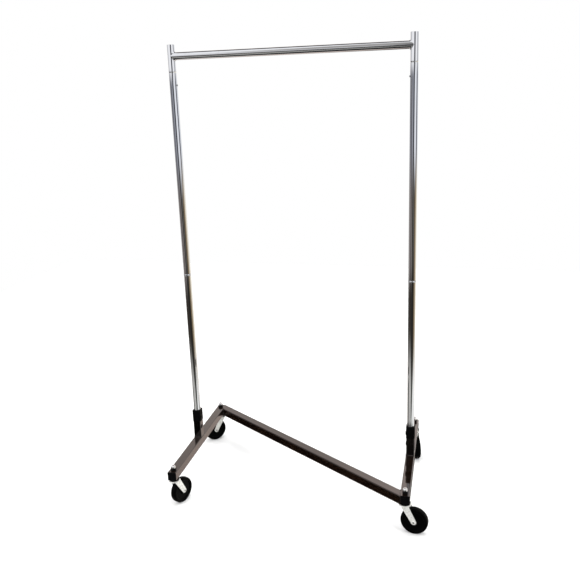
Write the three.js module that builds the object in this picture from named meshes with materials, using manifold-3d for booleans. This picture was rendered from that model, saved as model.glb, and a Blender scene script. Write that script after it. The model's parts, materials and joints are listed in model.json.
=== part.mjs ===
// Rolling clothes rack with a Z-shaped base.
//
// Two square side bars lie front to back, and a diagonal bar joins the back of the left one to the
// front of the right one. A swivel caster hangs under each end of each side bar, held by a stem with
// a dome nut on top. A square socket in the middle of each side bar holds an upright of two round
// tubes, one on the other. The hang rail is welded between two short stubs, which plug into the
// tops of the uprights and are held there by snap buttons.
//
// Millimetres. +X runs along the rail to the right, +Y to the back, +Z up. The floor is z = 0, and
// the origin is under the middle of the rack's bounding box.
import * as THREE from "three";
import { mergeVertices } from "three/addons/utils/BufferGeometryUtils.js";
import Module from "manifold-3d";

// ---- Driving dimensions ----
const RAIL_SPAN = 905; // between the axes of the two uprights
const BAR_LENGTH = 616; // a side bar over its two end caps
const BAR_SIZE = 35;
const BAR_WALL = 1.8;
const BAR_CORNER = 3;
const CASTER_INSET = 22.5; // from a bar's end to the stem's axis

const WHEEL_RADIUS = 50.8;
const WHEEL_WIDTH = 25.4;
const CASTER_TRAIL = 35; // from the stem's axis to the axle
const CASTER_HEADROOM = 18.4; // from the top of the wheel to the bar

const SOCKET_SIZE = 32;
const SOCKET_WALL = 1.4;
const SOCKET_CORNER = 2.5;
const COLLAR_SIZE = 34.6;
const COLLAR_SKIRT = 45; // how far the collar reaches down the socket
const COLLAR_TOP = 5; // thickness over the socket's edge

const TUBE_RADIUS = 14.3;
const TUBE_WALL = 1.2;
const SPIGOT_RADIUS = 12.9; // of what plugs into a tube
const SPIGOT_WALL = 1.2;
const BEAD_RADIUS = 15.4;
const BEAD_HEIGHT = 6.4;

// Heights above the top of the side bars
const COLLAR_RISE = 125; // top of the collar
const BEAD_RISE = 724; // middle of the bead between the two upright tubes
const SEAM_RISE = 1516; // where a rail stub stands on its upright
const RAIL_RISE = 1576; // axis of the hang rail
const STUB_RISE = 1618; // top of the rail stubs
const BUTTON_DROP = 46; // a snap button's axis below the seam
const SCREW_DROPS = [33, 79]; // the clamp screws' axes below the top of the collar

const GAP = 0.3; // between pieces that touch
const FIT = 0.2; // radial play of what plugs into a tube
const RUNNING_GAP = 0.4; // between pieces that turn past each other

// ---- Lengths worked out from them ----
const BAR_BOTTOM = 2 * WHEEL_RADIUS + CASTER_HEADROOM;
const BAR_TOP = BAR_BOTTOM + BAR_SIZE;
const HALF_SPAN = RAIL_SPAN / 2;
const HALF_BAR = BAR_SIZE / 2;
const HALF_LENGTH = BAR_LENGTH / 2;
const TUBE_BORE = TUBE_RADIUS - TUBE_WALL;

const WHEEL_SIDES = 32;
const ROUND_SIDES = 20; // facets of tubes
const SMALL_SIDES = 12; // facets of screws, rivets and the like
const ARC_STEPS = 2; // steps along a rounded corner

// ---- Materials ----
const chrome = new THREE.MeshStandardMaterial({ color: 0xd8dbde, metalness: 1, roughness: 0.07 });
const enamel = new THREE.MeshStandardMaterial({ color: 0x2c1f1b, metalness: 0, roughness: 0.18 });
const zinc = new THREE.MeshStandardMaterial({ color: 0xc4c5c1, metalness: 1, roughness: 0.32 });
const blackSteel = new THREE.MeshStandardMaterial({ color: 0x1a1817, metalness: 0.6, roughness: 0.35 });
const springSteel = new THREE.MeshStandardMaterial({ color: 0x8d9094, metalness: 1, roughness: 0.4 });
const plastic = new THREE.MeshStandardMaterial({ color: 0x0b0b0c, metalness: 0, roughness: 0.42 });
const rubber = new THREE.MeshStandardMaterial({ color: 0x0d0d0d, metalness: 0, roughness: 0.6 });

// ---- Solids ----
const wasm = await Module();
wasm.setup();

/** Turns a closed geometry into a solid that can be joined and cut. */
function toSolid(geometry) {
  const bare = geometry.index ? geometry.toNonIndexed() : geometry.clone();
  bare.deleteAttribute("normal");
  bare.deleteAttribute("uv");
  const merged = mergeVertices(bare, 1e-3);
  return new wasm.Manifold(
    new wasm.Mesh({
      numProp: 3,
      vertProperties: new Float32Array(merged.attributes.position.array),
      triVerts: new Uint32Array(merged.index.array),
    }),
  );
}

/** Turns a solid back into a geometry with flat normals. */
function toGeometry(solid) {
  const { numProp, numVert, vertProperties, triVerts } = solid.getMesh();
  const positions = new Float32Array(numVert * 3);
  for (let i = 0; i < numVert; i++) {
    positions.set(vertProperties.subarray(i * numProp, i * numProp + 3), i * 3);
  }
  const indexed = new THREE.BufferGeometry()
    .setAttribute("position", new THREE.BufferAttribute(positions, 3))
    .setIndex(new THREE.BufferAttribute(new Uint32Array(triVerts), 1));
  const geometry = indexed.toNonIndexed();
  geometry.computeVertexNormals();
  return geometry;
}

/** The first geometry with all the others joined to it. */
function joined(first, ...others) {
  return toGeometry(others.reduce((sum, other) => sum.add(toSolid(other)), toSolid(first)));
}

/** The first geometry with all the others cut out of it. */
function cut(first, ...tools) {
  return toGeometry(tools.reduce((rest, tool) => rest.subtract(toSolid(tool)), toSolid(first)));
}

/** A solid of revolution about Z from [radius, z] pairs, listed counter-clockwise. */
function turned(profile, sides = ROUND_SIDES) {
  const points = profile.map(([radius, z]) => new THREE.Vector2(radius, z));
  return new THREE.LatheGeometry(points, sides).rotateX(Math.PI / 2);
}

/** A round tube standing on z = 0. */
function roundTube(outer, inner, length) {
  return turned([
    [inner, 0],
    [outer, 0],
    [outer, length],
    [inner, length],
    [inner, 0],
  ]);
}

/** A round bar along Z between two heights. */
function rod(radius, low, high, sides = SMALL_SIDES) {
  const profile = [
    [0, low],
    [radius, low],
    [radius, high],
    [0, high],
  ];
  return turned(profile, sides);
}

/** Profile of a dome: a quarter of an ellipse from its edge at height low to its top on the axis. */
function domeProfile(radius, low, high, steps) {
  const arc = [];
  for (let i = 0; i < steps; i++) {
    const turn = (i / steps) * (Math.PI / 2);
    arc.push([radius * Math.cos(turn), low + (high - low) * Math.sin(turn)]);
  }
  return [...arc, [0, high]];
}

/** A square with rounded corners, centred on the origin, as a shape or as a hole. */
function roundedSquare(size, corner, Outline = THREE.Shape) {
  const half = size / 2;
  const inner = half - corner;
  return new Outline()
    .moveTo(inner, -half)
    .absarc(inner, -inner, corner, -Math.PI / 2, 0)
    .absarc(inner, inner, corner, 0, Math.PI / 2)
    .absarc(-inner, inner, corner, Math.PI / 2, Math.PI)
    .absarc(-inner, -inner, corner, Math.PI, (3 * Math.PI) / 2);
}

/** A shape carried up Z from z = 0. */
function raised(shape, depth) {
  return new THREE.ExtrudeGeometry(shape, { depth, bevelEnabled: false, curveSegments: ARC_STEPS });
}

/** A square tube standing on z = 0. */
function squareTube(size, wall, corner, length) {
  const shape = roundedSquare(size, corner);
  shape.holes.push(roundedSquare(size - 2 * wall, corner - wall, THREE.Path));
  return raised(shape, length);
}

/** A named mesh, placed at a point. */
function piece(name, geometry, material, x = 0, y = 0, z = 0) {
  const mesh = new THREE.Mesh(geometry, material);
  mesh.name = name;
  mesh.position.set(x, y, z);
  return mesh;
}

// ---- Base ----
const CAP_FLANGE = 3;
const CAP_PLUG = 9;
const CAP_BEVEL = 1;
const PLUG_CORNER = 1;
const STEM_RADIUS = 5.9;
const STEM_HOLE = STEM_RADIUS + RUNNING_GAP;

/** Side bar: a square tube along Y with a hole right through it near each end, for the stems. */
function sideBarGeometry() {
  const length = BAR_LENGTH - 2 * (CAP_FLANGE + GAP);
  const tube = squareTube(BAR_SIZE, BAR_WALL, BAR_CORNER, length)
    .rotateX(Math.PI / 2)
    .translate(0, length / 2, 0);
  const reach = HALF_LENGTH - CASTER_INSET;
  const holes = [-reach, reach].map((y) => rod(STEM_HOLE, -BAR_SIZE, BAR_SIZE).translate(0, y, 0));
  return cut(tube, ...holes);
}

/** End cap: a flange over the tube's end with a plug inside it. It faces -Y. */
function endCapGeometry() {
  const flange = new THREE.ExtrudeGeometry(roundedSquare(BAR_SIZE - 2 * CAP_BEVEL, BAR_CORNER), {
    depth: CAP_FLANGE - 2 * CAP_BEVEL,
    bevelThickness: CAP_BEVEL,
    bevelSize: CAP_BEVEL,
    bevelSegments: 1,
    curveSegments: ARC_STEPS,
  }).translate(0, 0, CAP_BEVEL);
  const room = BAR_SIZE - 2 * BAR_WALL - 2 * GAP;
  const plug = raised(roundedSquare(room, PLUG_CORNER), CAP_PLUG + CAP_BEVEL).translate(0, 0, -CAP_PLUG);
  return joined(flange, plug).rotateX(Math.PI / 2);
}

/**
 * Diagonal bar: a square tube whose ends are cut along the inner faces of the side bars. Its front
 * edge meets the front end of the right bar, and its back edge the back end of the left bar, so it
 * lies turned by slightly less than the line between those two corners.
 */
function diagonalGeometry() {
  const reach = HALF_SPAN - HALF_BAR;
  const corner = new THREE.Vector2(reach, HALF_LENGTH);
  const angle = corner.angle() - Math.asin(HALF_BAR / corner.length());
  const length = 2 * corner.length() + 4 * BAR_SIZE;
  const tube = squareTube(BAR_SIZE, BAR_WALL, BAR_CORNER, length)
    .translate(0, 0, -length / 2)
    .rotateY(Math.PI / 2)
    .rotateZ(-angle);
  const beyond = new THREE.BoxGeometry(length, 4 * BAR_LENGTH, 2 * BAR_SIZE);
  const shift = reach - GAP + length / 2;
  return cut(tube, beyond.clone().translate(shift, 0, 0), beyond.clone().translate(-shift, 0, 0));
}

/** Socket: a square tube standing on a side bar, drilled for the clamp screws on its +X face. */
function socketGeometry() {
  const height = COLLAR_RISE - COLLAR_TOP - 2 * GAP;
  const tube = squareTube(SOCKET_SIZE, SOCKET_WALL, SOCKET_CORNER, height);
  return cut(tube, ...screwHoles(GAP));
}

const COLLAR_CHAMFER = 1.2; // round the collar's top edge
const COLLAR_CORNER = 3.5;

/** Collar: a square cap over the top of the socket with a round hole for the upright. */
function collarGeometry() {
  const height = COLLAR_SKIRT + COLLAR_TOP;
  const body = raised(roundedSquare(COLLAR_SIZE, COLLAR_CORNER), height - COLLAR_CHAMFER);
  const inset = roundedSquare(COLLAR_SIZE - 2 * COLLAR_CHAMFER, COLLAR_CORNER - COLLAR_CHAMFER / 2);
  const rim = new THREE.ExtrudeGeometry(inset, {
    depth: COLLAR_CHAMFER / 2,
    bevelThickness: COLLAR_CHAMFER,
    bevelSize: COLLAR_CHAMFER,
    bevelSegments: 1,
    curveSegments: ARC_STEPS,
  }).translate(0, 0, height - 1.5 * COLLAR_CHAMFER);
  const pocket = raised(roundedSquare(SOCKET_SIZE + 2 * GAP, SOCKET_CORNER), COLLAR_SKIRT + 1);
  const bore = rod(TUBE_RADIUS + GAP, 0, height + 1, ROUND_SIDES);
  const foot = COLLAR_RISE - height;
  return cut(joined(body, rim), pocket.translate(0, 0, -1), bore, ...screwHoles(foot));
}

const SCREW_RADIUS = 4;
const SCREW_LENGTH = 8; // of the shank, under the head
const SCREW_HEAD_RADIUS = 9;
const SCREW_HEAD_HEIGHT = 4;
const SCREW_RIM = 1; // height of the head's upright edge, below the dome

/** The holes for the clamp screws, through whatever stands on the +X side from height foot up. */
function screwHoles(foot) {
  return SCREW_DROPS.map((drop) =>
    rod(SCREW_RADIUS + GAP, 0, BAR_SIZE)
      .rotateY(Math.PI / 2)
      .translate(0, 0, COLLAR_RISE - drop - foot),
  );
}

/** Clamp screw: a broad domed head on a shank, pointing -X, with its seat at x = 0. */
function screwGeometry() {
  const shank = [[0, -SCREW_LENGTH], [SCREW_RADIUS, -SCREW_LENGTH], [SCREW_RADIUS, 0]];
  const dome = domeProfile(SCREW_HEAD_RADIUS, SCREW_RIM, SCREW_HEAD_HEIGHT, 3);
  return turned([...shank, [SCREW_HEAD_RADIUS, 0], ...dome], SMALL_SIDES).rotateY(Math.PI / 2);
}

// ---- Uprights ----

/** Lower tube of an upright, which stands in the socket. */
function lowerTubeGeometry() {
  const length = BEAD_RISE - BEAD_HEIGHT / 2 - 2 * GAP;
  return cut(roundTube(TUBE_RADIUS, TUBE_BORE, length), ...screwHoles(GAP));
}

/** Upper tube of an upright, with the snap button's hole on its +X side. */
function upperTubeGeometry() {
  const length = SEAM_RISE - GAP - BEAD_RISE - BEAD_HEIGHT / 2 - GAP;
  const tube = roundTube(TUBE_RADIUS, TUBE_BORE, length);
  return cut(tube, buttonHole().translate(0, 0, length + GAP - BUTTON_DROP));
}

const COUPLING_REACH = 55; // how far a coupling goes into each tube
const BEAD_ROUND = 1.4; // how far the bead's edges are rounded off

/** Coupling between the two tubes: a tube that plugs into both, with a bead round its middle. */
function couplingGeometry() {
  const half = BEAD_HEIGHT / 2;
  const bore = SPIGOT_RADIUS - SPIGOT_WALL;
  return turned([
    [bore, -COUPLING_REACH],
    [SPIGOT_RADIUS, -COUPLING_REACH],
    [SPIGOT_RADIUS, -half],
    [BEAD_RADIUS - BEAD_ROUND, -half],
    [BEAD_RADIUS, BEAD_ROUND - half],
    [BEAD_RADIUS, half - BEAD_ROUND],
    [BEAD_RADIUS - BEAD_ROUND, half],
    [SPIGOT_RADIUS, half],
    [SPIGOT_RADIUS, COUPLING_REACH],
    [bore, COUPLING_REACH],
    [bore, -COUPLING_REACH],
  ]);
}

// ---- Rail ----
const INSERT_DOWN = 78; // length of a stub's insert below the seam
const INSERT_UP = 38; // and above it
const BUTTON_RADIUS = 3.2;
const BUTTON_PROUD = 3; // how far a button stands out of the upright
const BUTTON_DOME = 1.6; // height of its rounded tip
const FLANGE_RADIUS = 4.2; // of the flange that keeps it in the insert
const FLANGE_PLACE = 9.4; // from the upright's axis to the flange
const FLANGE_THICKNESS = 1;

/** Snap button's hole through a wall on the +X side. */
function buttonHole() {
  return rod(BUTTON_RADIUS + GAP, 0, BAR_SIZE).rotateY(Math.PI / 2);
}

/** Hang rail: a tube along X whose ends are scooped to lie against the round stubs. */
function railGeometry() {
  const tube = roundTube(TUBE_RADIUS, TUBE_BORE, RAIL_SPAN)
    .translate(0, 0, -HALF_SPAN)
    .rotateY(Math.PI / 2);
  const scoop = rod(TUBE_RADIUS + GAP, -2 * TUBE_RADIUS, 2 * TUBE_RADIUS, ROUND_SIDES);
  const left = scoop.clone().translate(-HALF_SPAN, 0, 0);
  return cut(tube, left, scoop.translate(HALF_SPAN, 0, 0));
}

/** Insert: the tube fixed inside a stub that plugs into the upright and holds the snap button. */
function insertGeometry() {
  const tube = roundTube(SPIGOT_RADIUS, SPIGOT_RADIUS - SPIGOT_WALL, INSERT_DOWN + INSERT_UP);
  return cut(
    tube.translate(0, 0, -INSERT_DOWN),
    buttonHole().translate(0, 0, -BUTTON_DROP),
  );
}

/** Snap button: a domed pin along +X with a flange inside the insert. */
function buttonGeometry() {
  const tip = TUBE_RADIUS + BUTTON_PROUD;
  return turned(
    [
      [0, FLANGE_PLACE],
      [FLANGE_RADIUS, FLANGE_PLACE],
      [FLANGE_RADIUS, FLANGE_PLACE + FLANGE_THICKNESS],
      [BUTTON_RADIUS, FLANGE_PLACE + FLANGE_THICKNESS],
      ...domeProfile(BUTTON_RADIUS, tip - BUTTON_DOME, tip, 4),
    ],
    SMALL_SIDES,
  ).rotateY(Math.PI / 2);
}

const SPRING_THICKNESS = 0.8;
const SPRING_WIDTH = 6;

/** Button spring: a strip bent into a V, with one arm on the back wall and one on the button. */
function springGeometry() {
  const path = new THREE.SplineCurve(
    [
      [-10.4, 8],
      [-10.4, -14],
      [-9.4, -26],
      [-7.6, -28.6],
      [-5.4, -26.4],
      [2.4, -14],
      [8.3, -5],
      [8.3, 5],
    ].map(([x, z]) => new THREE.Vector2(x, z)),
  );
  const steps = 16;
  const left = [];
  const right = [];
  for (let i = 0; i <= steps; i++) {
    const point = path.getPoint(i / steps);
    const tangent = path.getTangent(i / steps);
    const normal = new THREE.Vector2(-tangent.y, tangent.x).multiplyScalar(SPRING_THICKNESS / 2);
    left.push(point.clone().add(normal));
    right.unshift(point.clone().sub(normal));
  }
  const strip = new THREE.Shape([...left, ...right]);
  return raised(strip, SPRING_WIDTH).rotateX(Math.PI / 2).translate(0, SPRING_WIDTH / 2, 0);
}

// ---- Casters ----
const LEG_INNER = 14.6; // from the wheel's middle plane to the inside of a fork leg
const LEG_THICKNESS = 2.5;
const LEG_END_RADIUS = 11;
const LEG_TOP_HALF = 15.5;
const CROWN_RADIUS = 23.5;
const CROWN_HEIGHT = 4.8;
const CROWN_EDGE = 2; // height of the crown's upright edge, below its shoulder
const BEARING_HEIGHT = 6.8; // from the top of the crown to the bar
const CROWN_TOP = BAR_BOTTOM - BEARING_HEIGHT;
const CROWN_BOTTOM = CROWN_TOP - CROWN_HEIGHT;
const AXLE_RADIUS = 4.8;
const BUSH_RADIUS = 7.6;
const RACE_RADIUS = 20;
const RACE_CHAMFER = 1.5;

/** Angle at a circle's centre of the point where a line from outside touches it on one side. */
function tangentAngle(from, centre, radius, side) {
  const line = from.clone().sub(centre);
  return line.angle() + side * Math.acos(radius / line.length());
}

/** One leg of the fork: a flat tapering plate with a round end about the axle, drilled for it. */
function legGeometry() {
  const axle = new THREE.Vector2(CASTER_TRAIL, WHEEL_RADIUS);
  const top = CROWN_BOTTOM + 1;
  const back = new THREE.Vector2(-LEG_TOP_HALF, top);
  const front = new THREE.Vector2(LEG_TOP_HALF, top);
  const start = tangentAngle(back, axle, LEG_END_RADIUS, 1);
  const end = tangentAngle(front, axle, LEG_END_RADIUS, -1);
  const outline = new THREE.Shape()
    .moveTo(back.x, back.y)
    .absarc(axle.x, axle.y, LEG_END_RADIUS, start, end)
    .lineTo(front.x, front.y);
  outline.holes.push(
    new THREE.Path().absarc(axle.x, axle.y, AXLE_RADIUS + GAP, 0, 2 * Math.PI, true),
  );
  return new THREE.ExtrudeGeometry(outline, {
    depth: LEG_THICKNESS,
    bevelEnabled: false,
    curveSegments: 12,
  }).rotateX(Math.PI / 2);
}

/** Fork: two legs under a round dished crown. The trail runs along +X. */
function forkGeometry() {
  const floor = CROWN_BOTTOM;
  const crown = turned([
    [STEM_HOLE, floor],
    [CROWN_RADIUS, floor],
    [CROWN_RADIUS, floor + CROWN_EDGE],
    [CROWN_RADIUS - CROWN_EDGE, CROWN_TOP],
    [STEM_HOLE, CROWN_TOP],
    [STEM_HOLE, floor],
  ]);
  const left = legGeometry().translate(0, LEG_INNER + LEG_THICKNESS, 0);
  const right = legGeometry().translate(0, -LEG_INNER, 0);
  return joined(crown, left, right);
}

/** Race: the fixed half of the swivel bearing, between the fork's crown and the bar. */
function raceGeometry() {
  const low = CROWN_TOP + RUNNING_GAP;
  const high = BAR_BOTTOM - GAP;
  return turned([
    [STEM_HOLE, low],
    [RACE_RADIUS - RACE_CHAMFER, low],
    [RACE_RADIUS, low + RACE_CHAMFER],
    [RACE_RADIUS, high],
    [STEM_HOLE, high],
    [STEM_HOLE, low],
  ]);
}

const STEM_HEAD_RADIUS = 9;
const STEM_HEAD_HEIGHT = 3.6;
const STEM_HEAD_CHAMFER = 1.6;
const STEM_RISE = 11; // above the bar, inside the dome nut
const STEM_TIP_CHAMFER = 1;

/** Stem: the riveted pin that the fork swivels on, up through the bar and into the dome nut. */
function stemGeometry() {
  const seat = CROWN_BOTTOM - GAP;
  const foot = seat - STEM_HEAD_HEIGHT;
  const tip = BAR_TOP + STEM_RISE;
  return turned(
    [
      [0, foot],
      [STEM_HEAD_RADIUS - STEM_HEAD_CHAMFER, foot],
      [STEM_HEAD_RADIUS, foot + STEM_HEAD_CHAMFER],
      [STEM_HEAD_RADIUS, seat],
      [STEM_RADIUS, seat],
      [STEM_RADIUS, tip - STEM_TIP_CHAMFER],
      [STEM_RADIUS - STEM_TIP_CHAMFER, tip],
      [0, tip],
    ],
    SMALL_SIDES,
  );
}

const NUT_ACROSS = 19; // the hexagon across its flats
const NUT_HEX_HEIGHT = 10;
const NUT_HEIGHT = 22;
const NUT_BORE_DEPTH = 12;
const NUT_DOME_RADIUS = 8.9;
const NUT_DOME_START = 13; // height where the dome begins to close in

/** Dome nut: a hexagon under a dome, with a blind bore, standing on z = 0. */
function domeNutGeometry() {
  const corner = NUT_ACROSS / Math.sqrt(3);
  const hex = new THREE.CylinderGeometry(corner, corner, NUT_HEX_HEIGHT, 6)
    .rotateX(Math.PI / 2)
    .translate(0, 0, NUT_HEX_HEIGHT / 2);
  const root = NUT_HEX_HEIGHT - 1;
  const dome = domeProfile(NUT_DOME_RADIUS, NUT_DOME_START, NUT_HEIGHT, 4);
  const cap = turned([[0, root], [NUT_DOME_RADIUS, root], ...dome], SMALL_SIDES);
  return cut(joined(hex, cap), rod(STEM_RADIUS + GAP, -1, NUT_BORE_DEPTH));
}

const BOSS_WALL = 6; // from the wheel's bore to the edge of its boss
const BOSS_PROUD = 0.9; // how far the boss stands out past the rim
const DISH_START = 8; // from the bore to the dish
const DISH_DEPTH = 3.5;
const DISH_END = 38; // radius where the dish begins to rise to the rim
const RIM_START = 41.5;
const TREAD_DROP = 2.4; // how far the tread falls off at the shoulders
const SHOULDER_WIDTH = 5;

/** Wheel about Y: a rounded tread, a dished side with a raised rim, and a boss round the bore. */
function wheelGeometry() {
  const bore = BUSH_RADIUS + GAP;
  const half = WHEEL_WIDTH / 2;
  const near = [
    [bore, -half - BOSS_PROUD],
    [bore + BOSS_WALL, -half - BOSS_PROUD],
    [bore + DISH_START, DISH_DEPTH - half],
    [DISH_END, DISH_DEPTH - half],
    [RIM_START, -half],
    [WHEEL_RADIUS - TREAD_DROP, -half],
    [WHEEL_RADIUS, SHOULDER_WIDTH - half],
  ];
  const far = near.map(([radius, y]) => [radius, -y]).reverse();
  const points = [...near, ...far, near[0]].map(([radius, y]) => new THREE.Vector2(radius, y));
  return new THREE.LatheGeometry(points, WHEEL_SIDES);
}

/** Bush: the sleeve that the legs clamp and the wheel turns on, along Y. */
function bushGeometry() {
  const length = 2 * (LEG_INNER - GAP);
  const half = length / 2;
  const inner = AXLE_RADIUS + GAP;
  const profile = [
    [inner, -half],
    [BUSH_RADIUS, -half],
    [BUSH_RADIUS, half],
    [inner, half],
    [inner, -half],
  ];
  return turned(profile, SMALL_SIDES).rotateX(Math.PI / 2);
}

const AXLE_HEAD_RADIUS = 7.2; // where the head sits on the leg
const AXLE_TIP_RADIUS = 5.4; // the flat on top of the head
const AXLE_HEAD_HEIGHT = 2.2;

/** Axle: a rivet along Y through both legs, with a low head outside each. */
function axleGeometry() {
  const seat = LEG_INNER + LEG_THICKNESS + GAP;
  const tip = seat + AXLE_HEAD_HEIGHT;
  return turned(
    [
      [0, -tip],
      [AXLE_TIP_RADIUS, -tip],
      [AXLE_HEAD_RADIUS, -seat],
      [AXLE_RADIUS, -seat],
      [AXLE_RADIUS, seat],
      [AXLE_HEAD_RADIUS, seat],
      [AXLE_TIP_RADIUS, tip],
      [0, tip],
    ],
    SMALL_SIDES,
  ).rotateX(Math.PI / 2);
}

// ---- Assembly ----

/** Everything fixed to one side bar, with its pieces' faces towards the rack's middle on +X. */
function sideGroup(side) {
  const group = new THREE.Group();
  const bar = piece(`${side}_side_bar`, sideBarGeometry(), enamel, 0, 0, BAR_BOTTOM + HALF_BAR);
  const ends = side === "left" ? ["front", "back"] : ["back", "front"];
  const capPlace = HALF_LENGTH - CAP_FLANGE;
  const [nearCap, farCap] = ends.map((end, i) => {
    const y = i ? capPlace : -capPlace;
    const cap = piece(`${end}_${side}_end_cap`, endCapGeometry(), plastic, 0, y, bar.position.z);
    cap.rotation.z = i * Math.PI;
    return cap;
  });
  const socket = piece(`${side}_socket`, socketGeometry(), enamel, 0, 0, BAR_TOP + GAP);
  const collarFoot = BAR_TOP + COLLAR_RISE - COLLAR_SKIRT - COLLAR_TOP;
  const collar = piece(`${side}_collar`, collarGeometry(), plastic, 0, 0, collarFoot);
  const seats = { upper: COLLAR_SIZE / 2 + GAP, lower: SOCKET_SIZE / 2 + GAP };
  const screws = ["upper", "lower"].map((level, i) => {
    const height = BAR_TOP + COLLAR_RISE - SCREW_DROPS[i];
    return piece(`${side}_${level}_clamp_screw`, screwGeometry(), blackSteel, seats[level], 0, height);
  });
  group.add(bar, nearCap, farCap, socket, collar, ...screws);
  return group;
}

/** One upright with its coupling, on the same side's axis. */
function uprightGroup(side) {
  const group = new THREE.Group();
  const foot = BAR_TOP + GAP;
  const shoulder = BAR_TOP + BEAD_RISE + BEAD_HEIGHT / 2 + GAP;
  group.add(
    piece(`${side}_lower_upright`, lowerTubeGeometry(), chrome, 0, 0, foot),
    piece(`${side}_coupling`, couplingGeometry(), chrome, 0, 0, BAR_TOP + BEAD_RISE),
    piece(`${side}_upper_upright`, upperTubeGeometry(), chrome, 0, 0, shoulder),
  );
  return group;
}

/** One end of the rail: stub, insert, snap button and its spring. */
function stubGroup(side) {
  const group = new THREE.Group();
  const seam = BAR_TOP + SEAM_RISE;
  const length = STUB_RISE - SEAM_RISE - GAP;
  const stub = roundTube(TUBE_RADIUS, SPIGOT_RADIUS + FIT, length);
  group.add(
    piece(`${side}_rail_stub`, stub, chrome, 0, 0, seam + GAP),
    piece(`${side}_stub_insert`, insertGeometry(), chrome, 0, 0, seam),
    piece(`${side}_snap_button`, buttonGeometry(), springSteel, 0, 0, seam - BUTTON_DROP),
    piece(`${side}_button_spring`, springGeometry(), springSteel, 0, 0, seam - BUTTON_DROP),
  );
  return group;
}

/** One caster, whose stem is on the group's Z axis. Only the fork and what it carries is turned. */
function casterGroup(corner, heading) {
  const group = new THREE.Group();
  group.add(
    piece(`${corner}_caster_stem`, stemGeometry(), zinc),
    piece(`${corner}_dome_nut`, domeNutGeometry(), chrome, 0, 0, BAR_TOP + GAP),
    piece(`${corner}_swivel_race`, raceGeometry(), blackSteel),
  );
  const swivel = new THREE.Group();
  swivel.rotation.z = THREE.MathUtils.degToRad(heading);
  swivel.add(
    piece(`${corner}_fork`, forkGeometry(), zinc),
    piece(`${corner}_axle`, axleGeometry(), zinc, CASTER_TRAIL, 0, WHEEL_RADIUS),
    piece(`${corner}_wheel_bush`, bushGeometry(), zinc, CASTER_TRAIL, 0, WHEEL_RADIUS),
    piece(`${corner}_wheel`, wheelGeometry(), rubber, CASTER_TRAIL, 0, WHEEL_RADIUS),
  );
  group.add(swivel);
  return group;
}

// Each caster's corner, the signs of its x and y, and the heading of its trail in degrees from +X.
const CASTERS = [
  ["front_left", -1, -1, 70],
  ["back_left", -1, 1, -137],
  ["front_right", 1, -1, -8],
  ["back_right", 1, 1, -75],
];

const rack = new THREE.Group();
for (const [side, x, turn] of [["left", -HALF_SPAN, 0], ["right", HALF_SPAN, Math.PI]]) {
  const half = new THREE.Group();
  half.position.x = x;
  half.rotation.z = turn;
  half.add(sideGroup(side), uprightGroup(side), stubGroup(side));
  rack.add(half);
}
rack.add(
  piece("diagonal_bar", diagonalGeometry(), enamel, 0, 0, BAR_BOTTOM + HALF_BAR),
  piece("hang_rail", railGeometry(), chrome, 0, 0, BAR_TOP + RAIL_RISE),
);
for (const [corner, x, y, heading] of CASTERS) {
  const caster = casterGroup(corner, heading);
  caster.position.set(x * HALF_SPAN, y * (HALF_LENGTH - CASTER_INSET), 0);
  rack.add(caster);
}

// The rack is shifted so that the middle of its bounding box is over the origin.
const middle = new THREE.Box3().setFromObject(rack, true).getCenter(new THREE.Vector3());
rack.position.set(-middle.x, -middle.y, 0);

const part = new THREE.Group();
part.add(rack);

export default part;
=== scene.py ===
"""Rolling clothes rack: the finished surfaces and finishes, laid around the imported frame.

Lengths are in millimetres until a mesh is written, which is in metres, in the frame's own axes:
+X along the hang rail to the right, +Y to the back, +Z up, and the floor at z = 0.
"""

import json
import logging
import math
from collections.abc import Sequence
from dataclasses import dataclass, field
from enum import Enum

import bpy
import numpy as np
from mathutils import Matrix, Vector

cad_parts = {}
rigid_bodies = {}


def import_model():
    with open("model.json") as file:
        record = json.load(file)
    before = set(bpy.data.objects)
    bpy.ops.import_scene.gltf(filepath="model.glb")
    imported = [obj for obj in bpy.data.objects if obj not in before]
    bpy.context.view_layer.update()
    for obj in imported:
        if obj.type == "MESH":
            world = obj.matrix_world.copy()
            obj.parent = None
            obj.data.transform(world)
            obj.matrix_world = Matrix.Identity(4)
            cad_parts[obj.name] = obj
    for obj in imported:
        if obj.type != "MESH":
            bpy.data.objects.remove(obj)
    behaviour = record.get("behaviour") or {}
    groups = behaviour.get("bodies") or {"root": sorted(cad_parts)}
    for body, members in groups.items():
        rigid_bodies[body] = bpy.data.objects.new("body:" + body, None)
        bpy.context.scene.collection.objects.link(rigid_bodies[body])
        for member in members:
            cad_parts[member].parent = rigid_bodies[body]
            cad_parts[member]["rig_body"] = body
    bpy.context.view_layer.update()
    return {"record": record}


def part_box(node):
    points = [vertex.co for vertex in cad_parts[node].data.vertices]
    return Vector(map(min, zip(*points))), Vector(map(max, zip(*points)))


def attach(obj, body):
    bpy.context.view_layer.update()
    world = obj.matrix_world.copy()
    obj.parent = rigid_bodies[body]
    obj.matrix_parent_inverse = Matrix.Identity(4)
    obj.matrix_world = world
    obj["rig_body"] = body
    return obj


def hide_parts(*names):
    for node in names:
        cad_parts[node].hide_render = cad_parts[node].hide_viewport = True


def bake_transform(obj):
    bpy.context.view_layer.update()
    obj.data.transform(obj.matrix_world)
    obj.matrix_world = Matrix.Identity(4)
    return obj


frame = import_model()

MM = 0.001
GAP = 0.3  # left between pieces that touch
SIDES = 72  # points round a turned surface
SHARP = math.radians(38)  # edges that turn further than this are shown as edges
BODY_OF = {node: body for body, nodes in frame["record"]["behaviour"]["bodies"].items() for node in nodes}
log = logging.getLogger("rack")


class Side(Enum):
    """A side of the rack, with the sign of the way to the rack's middle along X."""

    LEFT = 1
    RIGHT = -1

    @property
    def word(self) -> str:
        """The side's name as the nodes spell it."""
        return self.name.lower()


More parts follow.
